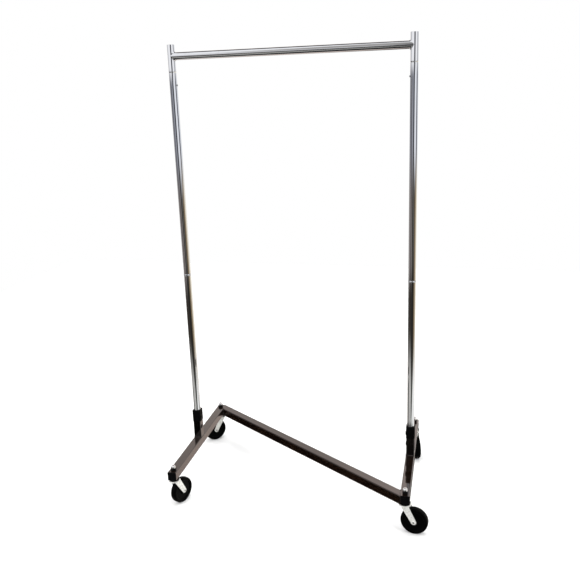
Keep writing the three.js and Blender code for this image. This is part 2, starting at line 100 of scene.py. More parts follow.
class Corner(Enum):
    """A corner of the base, as the nodes spell it."""

    FRONT_LEFT = "front_left"
    BACK_LEFT = "back_left"
    FRONT_RIGHT = "front_right"
    BACK_RIGHT = "back_right"


class Lie(Enum):
    """The axis that a surface worked out along Z is laid along."""

    X = (2, 0, 1)
    Y = (1, 2, 0)
    Z = (0, 1, 2)


# ---- Surfaces ----


@dataclass
class Shell:
    """A closed surface: points in millimetres, and the four- and three-sided faces between them."""

    points: np.ndarray
    quads: np.ndarray
    tris: np.ndarray = field(default_factory=lambda: np.zeros((0, 3), int))

    @staticmethod
    def loft(rings: np.ndarray, closed: bool = False, poles: bool = True) -> "Shell":
        """Joins rings of points, each to the next, into one closed surface that faces outwards.

        Args:
            rings: The points, by ring, place round the ring, and coordinate.
            closed: Whether the last ring is joined to the first one, as on a tube with a bore.
            poles: Whether the first and last rings are closed by fans about their middles.

        Returns:
            The shell.
        """
        count, around = rings.shape[:2]
        start = np.arange(count if closed else count - 1)[:, None]
        step = np.arange(around)[None, :]
        low, high = start * around, (start + 1) % count * around
        after = (step + 1) % around
        quads = np.stack([low + step, low + after, high + after, high + step], -1).reshape(-1, 4)
        points = rings.reshape(-1, 3)
        tris = np.zeros((0, 3), int)
        if poles and not closed:
            ends = np.stack([rings[0].mean(0), rings[-1].mean(0)])
            first, last, edge = len(points), len(points) + 1, (count - 1) * around
            ring, following = step[0], after[0]
            tris = np.concatenate([
                np.stack([following, ring, np.full(around, first)], -1),
                np.stack([edge + ring, edge + following, np.full(around, last)], -1),
            ])
            points = np.concatenate([points, ends])
        return Shell(points, quads, tris).facing_out()

    def volume(self) -> float:
        """Signed volume: a sixth of the sum of each triangle's triple product."""
        halves = [self.quads[:, [0, 1, 2]], self.quads[:, [0, 2, 3]], self.tris]
        a, b, c = np.moveaxis(self.points[np.concatenate(halves)], 1, 0)
        return float(np.einsum("ij,ij->i", a, np.cross(b, c)).sum() / 6)

    def facing_out(self) -> "Shell":
        """The same surface, with its faces turned if its signed volume is negative."""
        if self.volume() >= 0:
            return self
        return Shell(self.points, self.quads[:, ::-1], self.tris[:, ::-1])

    def laid(self, lie: Lie) -> "Shell":
        """The surface with its Z axis laid along another one."""
        return Shell(self.points[:, list(lie.value)], self.quads, self.tris)

    def moved(self, x: float = 0.0, y: float = 0.0, z: float = 0.0) -> "Shell":
        """The surface moved by an offset."""
        return Shell(self.points + np.array([x, y, z]), self.quads, self.tris)

    def turned(self, angle: float) -> "Shell":
        """The surface turned about Z, counter-clockwise from above, by an angle in radians."""
        turn = np.array(Matrix.Rotation(angle, 3, "Z"))
        return Shell(self.points @ turn.T, self.quads, self.tris)

    def __add__(self, other: "Shell") -> "Shell":
        """Both surfaces in one.

        Args:
            other: The second surface, whose faces count on from this one's points.

        Returns:
            The shell.
        """
        shift = len(self.points)
        return Shell(
            np.concatenate([self.points, other.points]),
            np.concatenate([self.quads, other.quads + shift]),
            np.concatenate([self.tris, other.tris + shift]),
        )


def even_angles(count: int = SIDES) -> np.ndarray:
    """Angles evenly round a circle."""
    return np.arange(count) * (2 * math.pi / count)


def square_angles(half: float, corner: float, arc_steps: int = 6) -> np.ndarray:
    """Polar angles of the points that a square with rounded corners needs.

    The first eighth has four points along the flat and the steps of half the corner's arc. It is
    mirrored in the diagonal and repeated four times.

    Args:
        half: Half the square's side.
        corner: Radius of its corners.
        arc_steps: Steps in half a corner.

    Returns:
        The angles, in rising order from 0.
    """
    inner = half - corner
    arc = np.linspace(0, math.pi / 4, arc_steps + 1)
    flat = np.arctan2(inner * np.array([0, 0.45, 0.8, 0.97]), half)
    eighth = np.concatenate([flat, np.arctan2(inner + corner * np.sin(arc), inner + corner * np.cos(arc))])
    quarter = np.concatenate([eighth, math.pi / 2 - eighth[-2:0:-1]])
    return (quarter[None, :] + even_angles(4)[:, None]).ravel()


def square_radius(angles: np.ndarray, half: float, corner: float) -> np.ndarray:
    """Distance from the middle of a square with rounded corners to its outline.

    Along a flat it is half the side over the larger of cosine and sine. In a corner it is where
    the ray leaves the corner's circle, the far root of a quadratic.

    Args:
        angles: Polar angles.
        half: Half the square's side.
        corner: Radius of its corners.

    Returns:
        One distance for each angle.
    """
    cosine, sine = np.abs(np.cos(angles)), np.abs(np.sin(angles))
    larger, smaller = np.maximum(cosine, sine), np.minimum(cosine, sine)
    inner = half - corner
    along = inner * (cosine + sine)
    rounded = along + np.sqrt(np.maximum(along**2 - 2 * inner**2 + corner**2, 0))
    return np.where(half * smaller / larger <= inner, half / larger, rounded)


def hexagon_radius(angles: np.ndarray, across: float) -> np.ndarray:
    """Distance to a hexagon's outline: half the width across flats over the cosine of the angle from
    the nearest flat's middle."""
    sixth = math.pi / 3
    return across / 2 / np.cos((angles + sixth / 2) % sixth - sixth / 2)


def rings(angles: np.ndarray, levels: Sequence[tuple[float | np.ndarray, float]]) -> np.ndarray:
    """Rings about Z.

    Args:
        angles: Polar angles of the points in each ring.
        levels: For each ring its radius, one number or one for each angle, and its height.

    Returns:
        The points by ring, place and coordinate: radius times cosine, radius times sine, height.
    """
    radii = np.stack([np.broadcast_to(radius, angles.shape) for radius, _ in levels])
    heights = np.array([height for _, height in levels])[:, None]
    return np.stack(
        [radii * np.cos(angles), radii * np.sin(angles), np.broadcast_to(heights, radii.shape)], -1
    )


def rounded(corners: Sequence[tuple[float, float, float]], closed: bool, steps: int = 4) -> np.ndarray:
    """A profile with its corners rounded.

    Each corner is replaced by a quadratic curve that leaves one side, and meets the next, a given
    distance from the corner. That distance is cut to under half of the shorter side.

    Args:
        corners: Each corner's two coordinates and its rounding distance.
        closed: Whether the last corner is joined to the first one.
        steps: Steps along each rounded corner.

    Returns:
        The profile's points.
    """
    table = np.array(corners, float)
    point, reach = table[:, :2], table[:, 2:]
    before, after = np.roll(point, 1, 0) - point, np.roll(point, -1, 0) - point
    if not closed:
        reach[[0, -1]] = 0
    sizes = [np.linalg.norm(way, axis=1, keepdims=True) for way in (before, after)]
    reach = np.minimum(reach, 0.48 * np.minimum(*sizes))
    start, end = (point + way / size * reach for way, size in zip((before, after), sizes))
    t = np.linspace(0, 1, steps + 1)[None, :, None]
    curve = (1 - t) ** 2 * start[:, None] + 2 * t * (1 - t) * point[:, None] + t**2 * end[:, None]
    path = curve.reshape(-1, 2)
    fresh = np.ones(len(path), bool)
    fresh[1:] = np.linalg.norm(np.diff(path, axis=0), axis=1) > 1e-6
    return path[fresh]


def lathe(
    corners: Sequence[tuple[float, float, float]], closed: bool = False, steps: int = 4, sides: int = SIDES
) -> Shell:
    """A surface of revolution about Z.

    Args:
        corners: The profile's corners: radius, height and rounding.
        closed: Whether the profile closes on itself, as round a bore. Otherwise it starts and ends
            on the axis.
        steps: Steps along each rounded corner.
        sides: Points round the axis.

    Returns:
        The shell.
    """
    profile = rounded(corners, closed, steps)
    if not closed:
        profile = profile[1:-1] if profile[0, 0] == 0 and profile[-1, 0] == 0 else profile
    return Shell.loft(rings(even_angles(sides), [tuple(row) for row in profile]), closed)


def tube(
    outer: float, inner: float, low: float, high: float, edge: float = 0.35, stops: Sequence[float] = ()
) -> Shell:
    """A round tube along Z whose ends have slightly rounded edges.

    Args:
        outer: Outer radius.
        inner: Radius of the bore.
        low: Lower end.
        high: Upper end.
        edge: Rounding of the edges.
        stops: Heights of further rings, which keep a cut in the wall local.

    Returns:
        The shell.
    """
    wall = [(outer, z, 0.0) for z in sorted(stops)]
    bore = [(inner, z, 0.0) for z in sorted(stops, reverse=True)]
    ends = [(inner, low, edge), (outer, low, edge), *wall, (outer, high, edge), (inner, high, edge), *bore]
    return lathe(ends, closed=True)


def square_tube(half: float, corner: float, wall: float, low: float, high: float, edge: float = 0.4) -> Shell:
    """A square tube along Z with rounded corners and slightly rounded ends.

    Args:
        half: Half its side.
        corner: Radius of its corners.
        wall: Thickness of its wall.
        low: Lower end.
        high: Upper end.
        edge: Rounding of the end's outer edge.

    Returns:
        The shell.
    """
    angles = square_angles(half, corner)
    profile = rounded(
        [(half - wall, low, 0), (half, low, edge), (half, high, edge), (half - wall, high, 0)], True
    )
    levels = [(square_radius(angles, size, corner - half + size), z) for size, z in profile]
    return Shell.loft(rings(angles, levels), closed=True)


def bead(
    path: np.ndarray, side: np.ndarray, up: np.ndarray, width: float, height: float, pitch: float
) -> Shell:
    """A weld bead: an oval section carried round a closed path, its size rippling along the way.

    The ripple is one sine of the distance along the path, whose phase is bowed across the bead like
    the crescents of a weld, with a slower wave that makes the bead a little uneven.

    Args:
        path: Points of the closed path.
        side: At each point, the way across the bead.
        up: At each point, the way out of the joint.
        width: Half the bead's width.
        height: Half the bead's height.
        pitch: Distance between ripples.

    Returns:
        The shell.
    """
    steps = np.linalg.norm(np.roll(path, -1, 0) - path, axis=1)
    along = np.concatenate([[0], np.cumsum(steps)[:-1]])[:, None]
    total = float(steps.sum())
    turns = even_angles(14)[None, :]
    count = max(round(total / pitch), 1)
    phase = 2 * math.pi * count * along / total - 1.4 * np.cos(turns) ** 2
    uneven = 1 + 0.10 * np.sin(10 * math.pi * along / total + 1) + 0.07 * np.sin(phase)
    across = (width * np.cos(turns) * uneven)[..., None] * side[:, None]
    out = (height * np.sin(turns) * uneven)[..., None] * up[:, None]
    return Shell.loft(path[:, None] + across + out, closed=True)


def span(node: str) -> tuple[np.ndarray, np.ndarray]:
    """Lowest and highest corner of a CAD node, in millimetres."""
    low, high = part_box(node)
    return np.array(low) / MM, np.array(high) / MM


def middle(node: str) -> np.ndarray:
    """Middle of a CAD node's box, in millimetres."""
    return sum(span(node)) / 2


# ---- Shader maths ----


class Value:
    """A shader socket. Arithmetic on it adds Math nodes."""

    def __init__(self, recipe: "Recipe", socket: bpy.types.NodeSocket) -> None:
        """Wraps a socket of a recipe's tree."""
        self.recipe = recipe
        self.socket = socket

    def maths(
        self, operation: str, *others: "Value | float", first: "Value | float | None" = None
    ) -> "Value":
        """One Math node.

        Args:
            operation: The node's operation.
            others: What follows this value.
            first: What comes before this value, if anything does.

        Returns:
            The result.
        """
        terms = [self, *others] if first is None else [first, self, *others]
        return self.recipe.node("ShaderNodeMath", {"operation": operation}, dict(enumerate(terms)))

    def __add__(self, other: "Value | float") -> "Value":
        """Sum."""
        return self.maths("ADD", other)

    __radd__ = __add__

    def __sub__(self, other: "Value | float") -> "Value":
        """Difference."""
        return self.maths("SUBTRACT", other)

    def __rsub__(self, other: "Value | float") -> "Value":
        """Difference from a number."""
        return self.maths("SUBTRACT", first=other)

    def __mul__(self, other: "Value | float") -> "Value":
        """Product."""
        return self.maths("MULTIPLY", other)

    __rmul__ = __mul__

    def band(self, centre: float, half: float, soft: float) -> "Value":
        """1 within half of a centre, falling smoothly to 0 over a soft edge."""
        return (self - centre).maths("ABSOLUTE").between(half + soft, half)

    def between(self, low: float, high: float) -> "Value":
        """A smooth step.

        Args:
            low: Where it is 0, and on the far side of it.
            high: Where it is 1, and on the far side of it. Below low, the step falls.

        Returns:
            A value from 0 to 1.
        """
        ends = {"From Min": low, "From Max": high, "To Min": 0.0, "To Max": 1.0}
        settings = {"interpolation_type": "SMOOTHSTEP"}
        return self.recipe.node("ShaderNodeMapRange", settings, {"Value": self, **ends}, "Result")


Input = "Value | float | Sequence[float]"


class Recipe:
    """A node tree being written."""

    def __init__(self, tree: bpy.types.NodeTree) -> None:
        """Clears the tree."""
        self.tree = tree
        tree.nodes.clear()

    def node(self, kind: str, settings: dict, inputs: dict, output: int | str = 0) -> Value:
        """Adds one node.

        Args:
            kind: The node's type.
            settings: Properties that are set first.
            inputs: Values or links of its sockets, by name or number.
            output: The socket that is returned.

        Returns:
            That output.
        """
        made = self.tree.nodes.new(kind)
        for name, value in settings.items():
            setattr(made, name, value)
        for name, value in inputs.items():
            if isinstance(value, Value):
                self.tree.links.new(value.socket, made.inputs[name])
            else:
                made.inputs[name].default_value = value
        return Value(self, made.outputs[output]) if made.outputs else Value(self, None)

    def object_place(self, scale: Sequence[float] = (1, 1, 1), centre: Sequence[float] = (0, 0, 0)) -> Value:
        """Object coordinates less a centre, times a scale for each axis.

        Args:
            scale: The factor along each axis.
            centre: The point that is taken as 0, in metres.

        Returns:
            The place.
        """
        coordinates = self.node("ShaderNodeTexCoord", {}, {}, "Object")
        shifted = self.node(
            "ShaderNodeVectorMath", {"operation": "SUBTRACT"}, {0: coordinates, 1: tuple(centre)}
        )
        return self.node("ShaderNodeVectorMath", {"operation": "MULTIPLY"}, {0: shifted, 1: tuple(scale)})

    def noise(self, place: Value, scale: float, detail: float = 3.0, roughness: float = 0.55) -> Value:
        """Fractal noise from 0 to 1 at a scale in waves per metre."""
        inputs = {"Vector": place, "Scale": scale, "Detail": detail, "Roughness": roughness}
        return self.node("ShaderNodeTexNoise", {}, inputs, "Fac")

    def cells(self, place: Value, scale: float) -> Value:
        """Distance to the nearest of scattered points, at a scale in points per metre."""
        return self.node("ShaderNodeTexVoronoi", {}, {"Vector": place, "Scale": scale}, "Distance")

    def mixed(self, share: "Value | float", first: Input, second: Input) -> Value:
        """A colour between two colours.

        Args:
            share: 0 for the first colour, 1 for the second.
            first: A colour, or a link to one.
            second: A colour, or a link to one.

        Returns:
            The colour.
        """
        ends = [(*c, 1.0) if isinstance(c, tuple) and len(c) == 3 else c for c in (first, second)]
        inputs = {0: share, 6: ends[0], 7: ends[1]}
        return self.node("ShaderNodeMix", {"data_type": "RGBA", "clamp_factor": True}, inputs, 2)

    def axis(self, vector: Value, name: str) -> Value:
        """One coordinate of a vector."""
        return self.node("ShaderNodeSeparateXYZ", {}, {0: vector}, name)

    def facing(self, name: str) -> Value:
        """One coordinate of the surface's own direction."""
        return self.axis(self.node("ShaderNodeNewGeometry", {}, {}, "Normal"), name)

    def bump(self, height: Value, distance: float, strength: float = 1.0) -> Value:
        """A normal from a height between 0 and 1 that stands for a distance in metres."""
        return self.node(
            "ShaderNodeBump", {}, {"Height": height, "Distance": distance, "Strength": strength}, "Normal"
        )

    def surface(self, inputs: dict) -> None:
        """Ends the tree with a Principled shader."""
        shader = self.node("ShaderNodeBsdfPrincipled", {}, inputs, "BSDF")
        self.node("ShaderNodeOutputMaterial", {}, {"Surface": shader})


# ---- Finishes ----

Colour = tuple[float, float, float]


@dataclass(frozen=True)
class Finish:
    """A material that is made once and shared by the pieces that wear it."""

    name: str

    def write(self, recipe: Recipe) -> None:
        """Writes the material's nodes into a recipe."""
        raise NotImplementedError

    def material(self) -> bpy.types.Material:
        """The material, made on first use.

        Returns:
            The material that every piece with this finish shares.
        """
        found = bpy.data.materials.get(self.name)
        if found:
            return found
        made = bpy.data.materials.new(self.name)
        made.use_nodes = True
        self.write(Recipe(made.node_tree))
        return made


@dataclass(frozen=True)
class Chrome(Finish):
    """Bright chrome plate on drawn tube, with faint wipe marks and, on a rail, hanger scratches."""

    colour: Colour = (0.80, 0.81, 0.83)
    haze: Colour = (0.66, 0.67, 0.68)
    gloss: float = 0.022
    rubbed: bool = False

    def write(self, recipe: Recipe) -> None:
        """Roughness and colour follow soft wipe marks, and the drawn tube's slow wave is a bump.

        Args:
            recipe: The material's tree.
        """
        place = recipe.object_place()
        wipes = recipe.noise(recipe.object_place((9, 9, 2.2)), 4.0, 4.0).between(0.46, 0.78)
        specks = recipe.cells(place, 330.0).between(0.10, 0.04) * recipe.noise(place, 12.0).between(0.5, 0.62)
        rough = self.gloss + wipes * 0.035 + specks * 0.25
        wave = recipe.noise(recipe.object_place((1, 1, 0.3)), 22.0, 1.0)
        height = wave
        if self.rubbed:
            lines = recipe.noise(recipe.object_place((1600, 14, 14)), 1.0, 2.0).between(0.60, 0.72)
            top = recipe.facing("Z").between(0.55, 0.95)
            worn = lines * top * recipe.noise(recipe.object_place((1, 0, 0)), 9.0).between(0.35, 0.60)
            rough = rough + worn * 0.22
            height = wave - worn * 0.25
        share = (wipes * 0.5 + specks).between(0.0, 1.0)
        recipe.surface({
            "Base Color": recipe.mixed(share, self.colour, self.haze),
            "Metallic": 1.0,
            "Roughness": rough,
            "Normal": recipe.bump(height, 0.00012, 0.6),
        })


@dataclass(frozen=True)
class Enamel(Finish):
    """Thick gloss enamel with orange peel, dust on what faces up, and small chips."""

    colour: Colour = (0.0080, 0.0040, 0.0024)
    deep: Colour = (0.0036, 0.0018, 0.0011)
    chip: Colour = (0.20, 0.19, 0.18)
    coat: float = 1.0

    def write(self, recipe: Recipe) -> None:
        """Colour drifts between two browns, and chips show the grey primer under the gloss.

        Args:
            recipe: The material's tree.
        """
        place = recipe.object_place()
        drift = recipe.noise(place, 7.0, 2.0).between(0.3, 0.7)
        dust = recipe.facing("Z").between(0.7, 1.0) * recipe.noise(place, 38.0, 5.0).between(0.40, 0.80)
        chips = recipe.cells(place, 60.0).between(0.045, 0.03) * recipe.noise(place, 5.0).between(0.62, 0.66)
        scuffs = recipe.noise(recipe.object_place((14, 220, 60)), 1.0, 3.0).between(0.66, 0.74)
        brown = recipe.mixed(drift, self.deep, self.colour)
        dusty = recipe.mixed(dust * 0.012, brown, (0.30, 0.27, 0.25))
        peel = recipe.noise(place, 260.0, 2.0) * 0.7 + recipe.noise(place, 55.0, 1.0) * 0.6 - chips
        recipe.surface({
            "Base Color": recipe.mixed(chips, dusty, self.chip),
            "Metallic": 0.0,
            "IOR": 1.55,
            "Specular Tint": (1.0, 0.82, 0.75, 1.0),
            "Roughness": 0.07 + dust * 0.03 + scuffs * 0.08 + chips * 0.4,
            "Coat Weight": (1 - chips) * self.coat,
            "Coat Roughness": 0.03,
            "Coat IOR": 1.4,
            "Normal": recipe.bump(peel, 0.00010, 0.45),
        })


@dataclass(frozen=True)
class Moulding(Finish):
    """Black moulded plastic with a fine grain and paler rubbed edges."""

    colour: Colour = (0.0016, 0.0016, 0.0018)
    rubbed: Colour = (0.006, 0.006, 0.0065)

    def write(self, recipe: Recipe) -> None:
        """Grain is a fine noise in the bump, and rubs are a coarse one in colour and roughness.

        Args:
            recipe: The material's tree.
        """
        place = recipe.object_place()
        grain = recipe.cells(place, 1500.0)
        rubs = recipe.noise(recipe.object_place((60, 60, 240)), 1.0, 4.0).between(0.58, 0.78)
        recipe.surface({
            "Base Color": recipe.mixed(rubs, self.colour, self.rubbed),
            "Metallic": 0.0,
            "Specular IOR Level": 0.045,
            "Roughness": 0.34 + rubs * 0.18 + grain * 0.12,
            "Normal": recipe.bump(grain, 0.00008, 0.5),
        })


@dataclass(frozen=True)
class HardRubber(Finish):
    """Hard black rubber: a scuffed and dusty tread, and smoother sides."""

    colour: Colour = (0.0006, 0.0006, 0.0006)
    dust: Colour = (0.0045, 0.0042, 0.0038)

    def write(self, recipe: Recipe) -> None:
        """Dust is a blotchy noise, and scuffs are short noise streaks.

        Args:
            recipe: The material's tree.
        """
        place = recipe.object_place()
        blotches = recipe.noise(place, 45.0, 5.0, 0.65).between(0.50, 0.80)
        scuffs = recipe.noise(recipe.object_place((300, 300, 60)), 1.0, 4.0).between(0.62, 0.78)
        pits = recipe.noise(place, 900.0, 2.0)
        share = blotches * 0.30 + scuffs * 0.25
        recipe.surface({
            "Base Color": recipe.mixed(share, self.colour, self.dust),
            "Metallic": 0.0,
            "Specular IOR Level": 0.04,
            "Roughness": 0.42 + blotches * 0.20 + scuffs * 0.12,
            "Normal": recipe.bump(pits + scuffs * 0.5, 0.00010, 0.5),
        })


@dataclass(frozen=True)
class Metal(Finish):
    """Plain or plated steel with brush marks, mottling and a few dark specks."""

    colour: Colour = (0.86, 0.86, 0.82)
    dull: Colour = (0.40, 0.39, 0.36)
    metallic: float = 0.45
    gloss: float = 0.30
    brush: float = 0.12
    shine: float = 0.5

    def write(self, recipe: Recipe) -> None:
        """Mottling mixes the two colours, and brush marks are a stretched noise in roughness and bump.

        Args:
            recipe: The material's tree.
        """
        place = recipe.object_place()
        mottle = recipe.noise(place, 150.0, 4.0, 0.65).between(0.36, 0.72)
        marks = recipe.noise(recipe.object_place((900, 900, 50)), 1.0, 3.0)
        patches = recipe.noise(place, 30.0).between(0.55, 0.65)
        specks = recipe.cells(place, 420.0).between(0.12, 0.06) * patches
        share = (mottle * 0.6 + specks).between(0.0, 1.0)
        recipe.surface({
            "Base Color": recipe.mixed(share, self.colour, self.dull),
            "Metallic": self.metallic,
            "Specular IOR Level": self.shine,
            "Roughness": self.gloss + mottle * 0.10 + marks * self.brush + specks * 0.2,
            "Normal": recipe.bump(marks * 0.6 + mottle * 0.4, 0.00008, 0.5),
        })


class Wear(Enum):
    """The finishes that the pieces wear."""

    CHROME = Chrome("chrome_plate")
    RAIL_CHROME = Chrome("chrome_plate_rail", rubbed=True)
    NICKEL = Chrome("bright_nickel", colour=(0.96, 0.95, 0.94), haze=(0.86, 0.86, 0.86), gloss=0.14)
    ENAMEL = Enamel("brown_enamel")
    MOULDING = Moulding("black_moulding")
    RUBBER = HardRubber("hard_rubber")
    BLACK_PAINT = Enamel("black_paint", colour=(0.0018, 0.0015, 0.0013), deep=(0.001, 0.0009, 0.0008))
    ZINC = Metal("zinc_plate")
    SPRING = Metal("spring_steel", colour=(0.24, 0.24, 0.26), dull=(0.12, 0.12, 0.13), metallic=0.9)
    # Near-black, barely shiny finish used only as painted shade: on the swivel races for the bars' shadow, on
    # the nut hexagons for their dark upright faces, and as discs in the axle dimples.
    BLACK_STEEL = Metal(
        "black_oxide", colour=(0.0030, 0.0028, 0.0026), dull=(0.0015, 0.0015, 0.0015),
        metallic=0.0, gloss=0.32, shine=0.12,
    )


# ---- Pieces ----


def show(name: str, shell: Shell, wear: Wear, *nodes: str, body: str = "") -> bpy.types.Object:
    """Writes a finished piece into the scene and hangs it on its body.

    Args:
        name: The piece's name.
        shell: Its surface.
        wear: Its finish.
        nodes: The CAD nodes that it stands for.
        body: The body that it rides on, where it stands for no node.

    Returns:
        The object.
    """
    mesh = bpy.data.meshes.new(name)
    mesh.from_pydata((shell.points * MM).tolist(), [], shell.quads.tolist() + shell.tris.tolist())
    mesh.shade_smooth()
    mesh.set_sharp_from_angle(angle=SHARP)
    mesh.materials.append(wear.value.material())
    made = bpy.data.objects.new(name, mesh)
    bpy.context.scene.collection.objects.link(made)
    weighted = made.modifiers.new("even_flats", "WEIGHTED_NORMAL")
    weighted.keep_sharp = True
    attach(made, BODY_OF[nodes[0]] if nodes else body)
    if nodes:
        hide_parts(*nodes)
    return made


def drill(piece: bpy.types.Object, tools: Sequence[Shell]) -> None:
    """Cuts closed shells out of a piece, for good.

    Args:
        piece: The piece.
        tools: What is cut away.
    """
    scratch = []
    for tool in tools:
        mesh = bpy.data.meshes.new("tool")
        mesh.from_pydata((tool.points * MM).tolist(), [], tool.quads.tolist() + tool.tris.tolist())
        cutter = bpy.data.objects.new("tool", mesh)
        bpy.context.scene.collection.objects.link(cutter)
        hole = piece.modifiers.new("hole", "BOOLEAN")
        hole.operation, hole.solver, hole.object = "DIFFERENCE", "EXACT", cutter
        scratch.append((hole, cutter))
    weighted = piece.modifiers["even_flats"]
    weighted.show_viewport = False
    bpy.context.view_layer.update()
    depsgraph = bpy.context.evaluated_depsgraph_get()
    cut = bpy.data.meshes.new_from_object(piece.evaluated_get(depsgraph))
    for hole, cutter in scratch:
        piece.modifiers.remove(hole)
        bpy.data.objects.remove(cutter)
    weighted.show_viewport = True
    cut.shade_smooth()
    cut.set_sharp_from_angle(angle=SHARP)
    cut.name = piece.name
    piece.data = cut


def drill_bit(radius: float, start: float, end: float) -> Shell:
    """A round cutter along Z."""
    return lathe([(0, start, 0), (radius, start, 0), (radius, end, 0), (0, end, 0)], sides=40)


@dataclass
class Base:
    """The Z-shaped base: two side bars, the diagonal, its welds and the four end caps."""

    wall: float = 1.8
    corner: float = 3.0
    cap_flange: float = 3.0
    cap_plug: float = 9.0
    stem_hole: float = 6.3
    weld_width: float = 2.6
    weld_height: float = 1.7

    def __post_init__(self) -> None:
        """Takes the bars' section and places from the frame."""
        low, high = span("left_side_bar")
        self.half = float(high[2] - low[2]) / 2
        self.height = float(high[2] + low[2]) / 2

    def side_bar(self, side: Side) -> None:
        """A square tube along Y, drilled through for the two caster stems.

        Args:
            side: The side of the rack.
        """
        name = f"{side.word}_side_bar"
        low, high = span(name)
        axis = middle(name)
        shell = square_tube(self.half, self.corner, self.wall, low[1], high[1]).laid(Lie.Y)
        bar = show(f"{name}_tube", shell.moved(x=axis[0], z=self.height), Wear.ENAMEL, name)
        ends = [middle(f"{end}_{side.word}_caster_stem") for end in ("front", "back")]
        bits = [drill_bit(self.stem_hole, low[2] - 5, high[2] + 5).moved(*end[:2]) for end in ends]
        drill(bar, bits)

    def diagonal(self) -> None:
        """The diagonal bar: its outline carried along a slanting line, each end on an upright plane.

        A point of the outline that lies s across the bar starts where the line through it meets the
        plane x = reach, so at (reach - s times the side direction's x) over the line direction's x.
        The turn is the one whose cut bar is as deep as the frame's.
        """
        low, high = span("diagonal_bar")
        centre = middle("diagonal_bar")
        reach = float(high[0] - low[0]) / 2
        depth = float(high[1] - low[1]) / 2
        angle = math.atan2(reach, depth) - math.acos(self.half / math.hypot(reach, depth))
        along = np.array([math.cos(angle), math.sin(angle), 0])
        across = np.array([-math.sin(angle), math.cos(angle), 0])
        angles = square_angles(self.half, self.corner)
        loops = []
        for sign, inner in ((-1, True), (-1, False), (1, False), (1, True)):
            size = self.half - (self.wall if inner else 0)
            corner = self.corner - (self.wall if inner else 0)
            radius = square_radius(angles, size, corner)
            s, up = radius * np.cos(angles), radius * np.sin(angles)
            start = (sign * reach - s * across[0]) / along[0]
            loops.append(start[:, None] * along + s[:, None] * across + up[:, None] * np.array([0, 0, 1]))
        shell = Shell.loft(np.stack(loops), closed=True).moved(*centre)
        show("diagonal_bar_tube", shell, Wear.ENAMEL, "diagonal_bar")
        for sign, loop, word in ((-1, loops[1], "left"), (1, loops[2], "right")):
            path = loop + centre - np.array([sign * 0.2, 0, 0])
            tangent = np.roll(path, -1, 0) - np.roll(path, 1, 0)
            tangent /= np.linalg.norm(tangent, axis=1, keepdims=True)
            side = np.broadcast_to(np.array([1.0, 0, 0]), path.shape)
            out = np.cross(tangent, side)
            outward = np.sign((out * (path - centre)).sum(1, keepdims=True))
            inset = path - 0.5 * self.weld_height * out * outward
            welded = bead(inset, side, out, self.weld_width, self.weld_height, 3.2)
            show(f"{word}_diagonal_weld", welded, Wear.ENAMEL, body=BODY_OF["diagonal_bar"])

    def end_cap(self, end: str, side: Side) -> None:
        """A cap on an open end: a plug, and a flange whose face is a little crowned.

        The crown drops the face by the fourth power of the distance from its middle.

        Args:
            end: front or back.
            side: The side of the rack.
        """
        name = f"{end}_{side.word}_end_cap"
        low, high = span(name)
        room = self.half - self.wall - GAP
        angles = square_angles(self.half, self.corner)
        profile = rounded([
            (room - 1, 0, 0), (room, 1, 0.5), (room, self.cap_plug, 0.2), (self.half, self.cap_plug, 0.3),
            (self.half, self.cap_plug + self.cap_flange, 2.2), (0.1, self.cap_plug + self.cap_flange, 0),
        ], False, 6)
        levels = []
        for size, z in profile:
            share = size / self.half
            drop = 0.45 * share**4 if z > self.cap_plug + 0.6 * self.cap_flange else 0
            levels.append((square_radius(angles, size, min(self.corner, 0.9 * size)), z - drop))
        shell = Shell.loft(rings(angles, levels)).laid(Lie.Y)
        if end == "front":
            shell = shell.turned(math.pi).moved(y=float(low[1]) + self.cap_plug + self.cap_flange)
        else:
            shell = shell.moved(y=float(high[1]) - self.cap_plug - self.cap_flange)
        axis = middle(name)
        show(f"{name}_moulding", shell.moved(x=axis[0], z=axis[2]), Wear.MOULDING, name)

    def build(self) -> None:
        """Makes every piece of the base."""
        self.diagonal()
        for side in Side:
            self.side_bar(side)
            for end in ("front", "back"):
                self.end_cap(end, side)
        log.info("base: bars, welds and end caps")


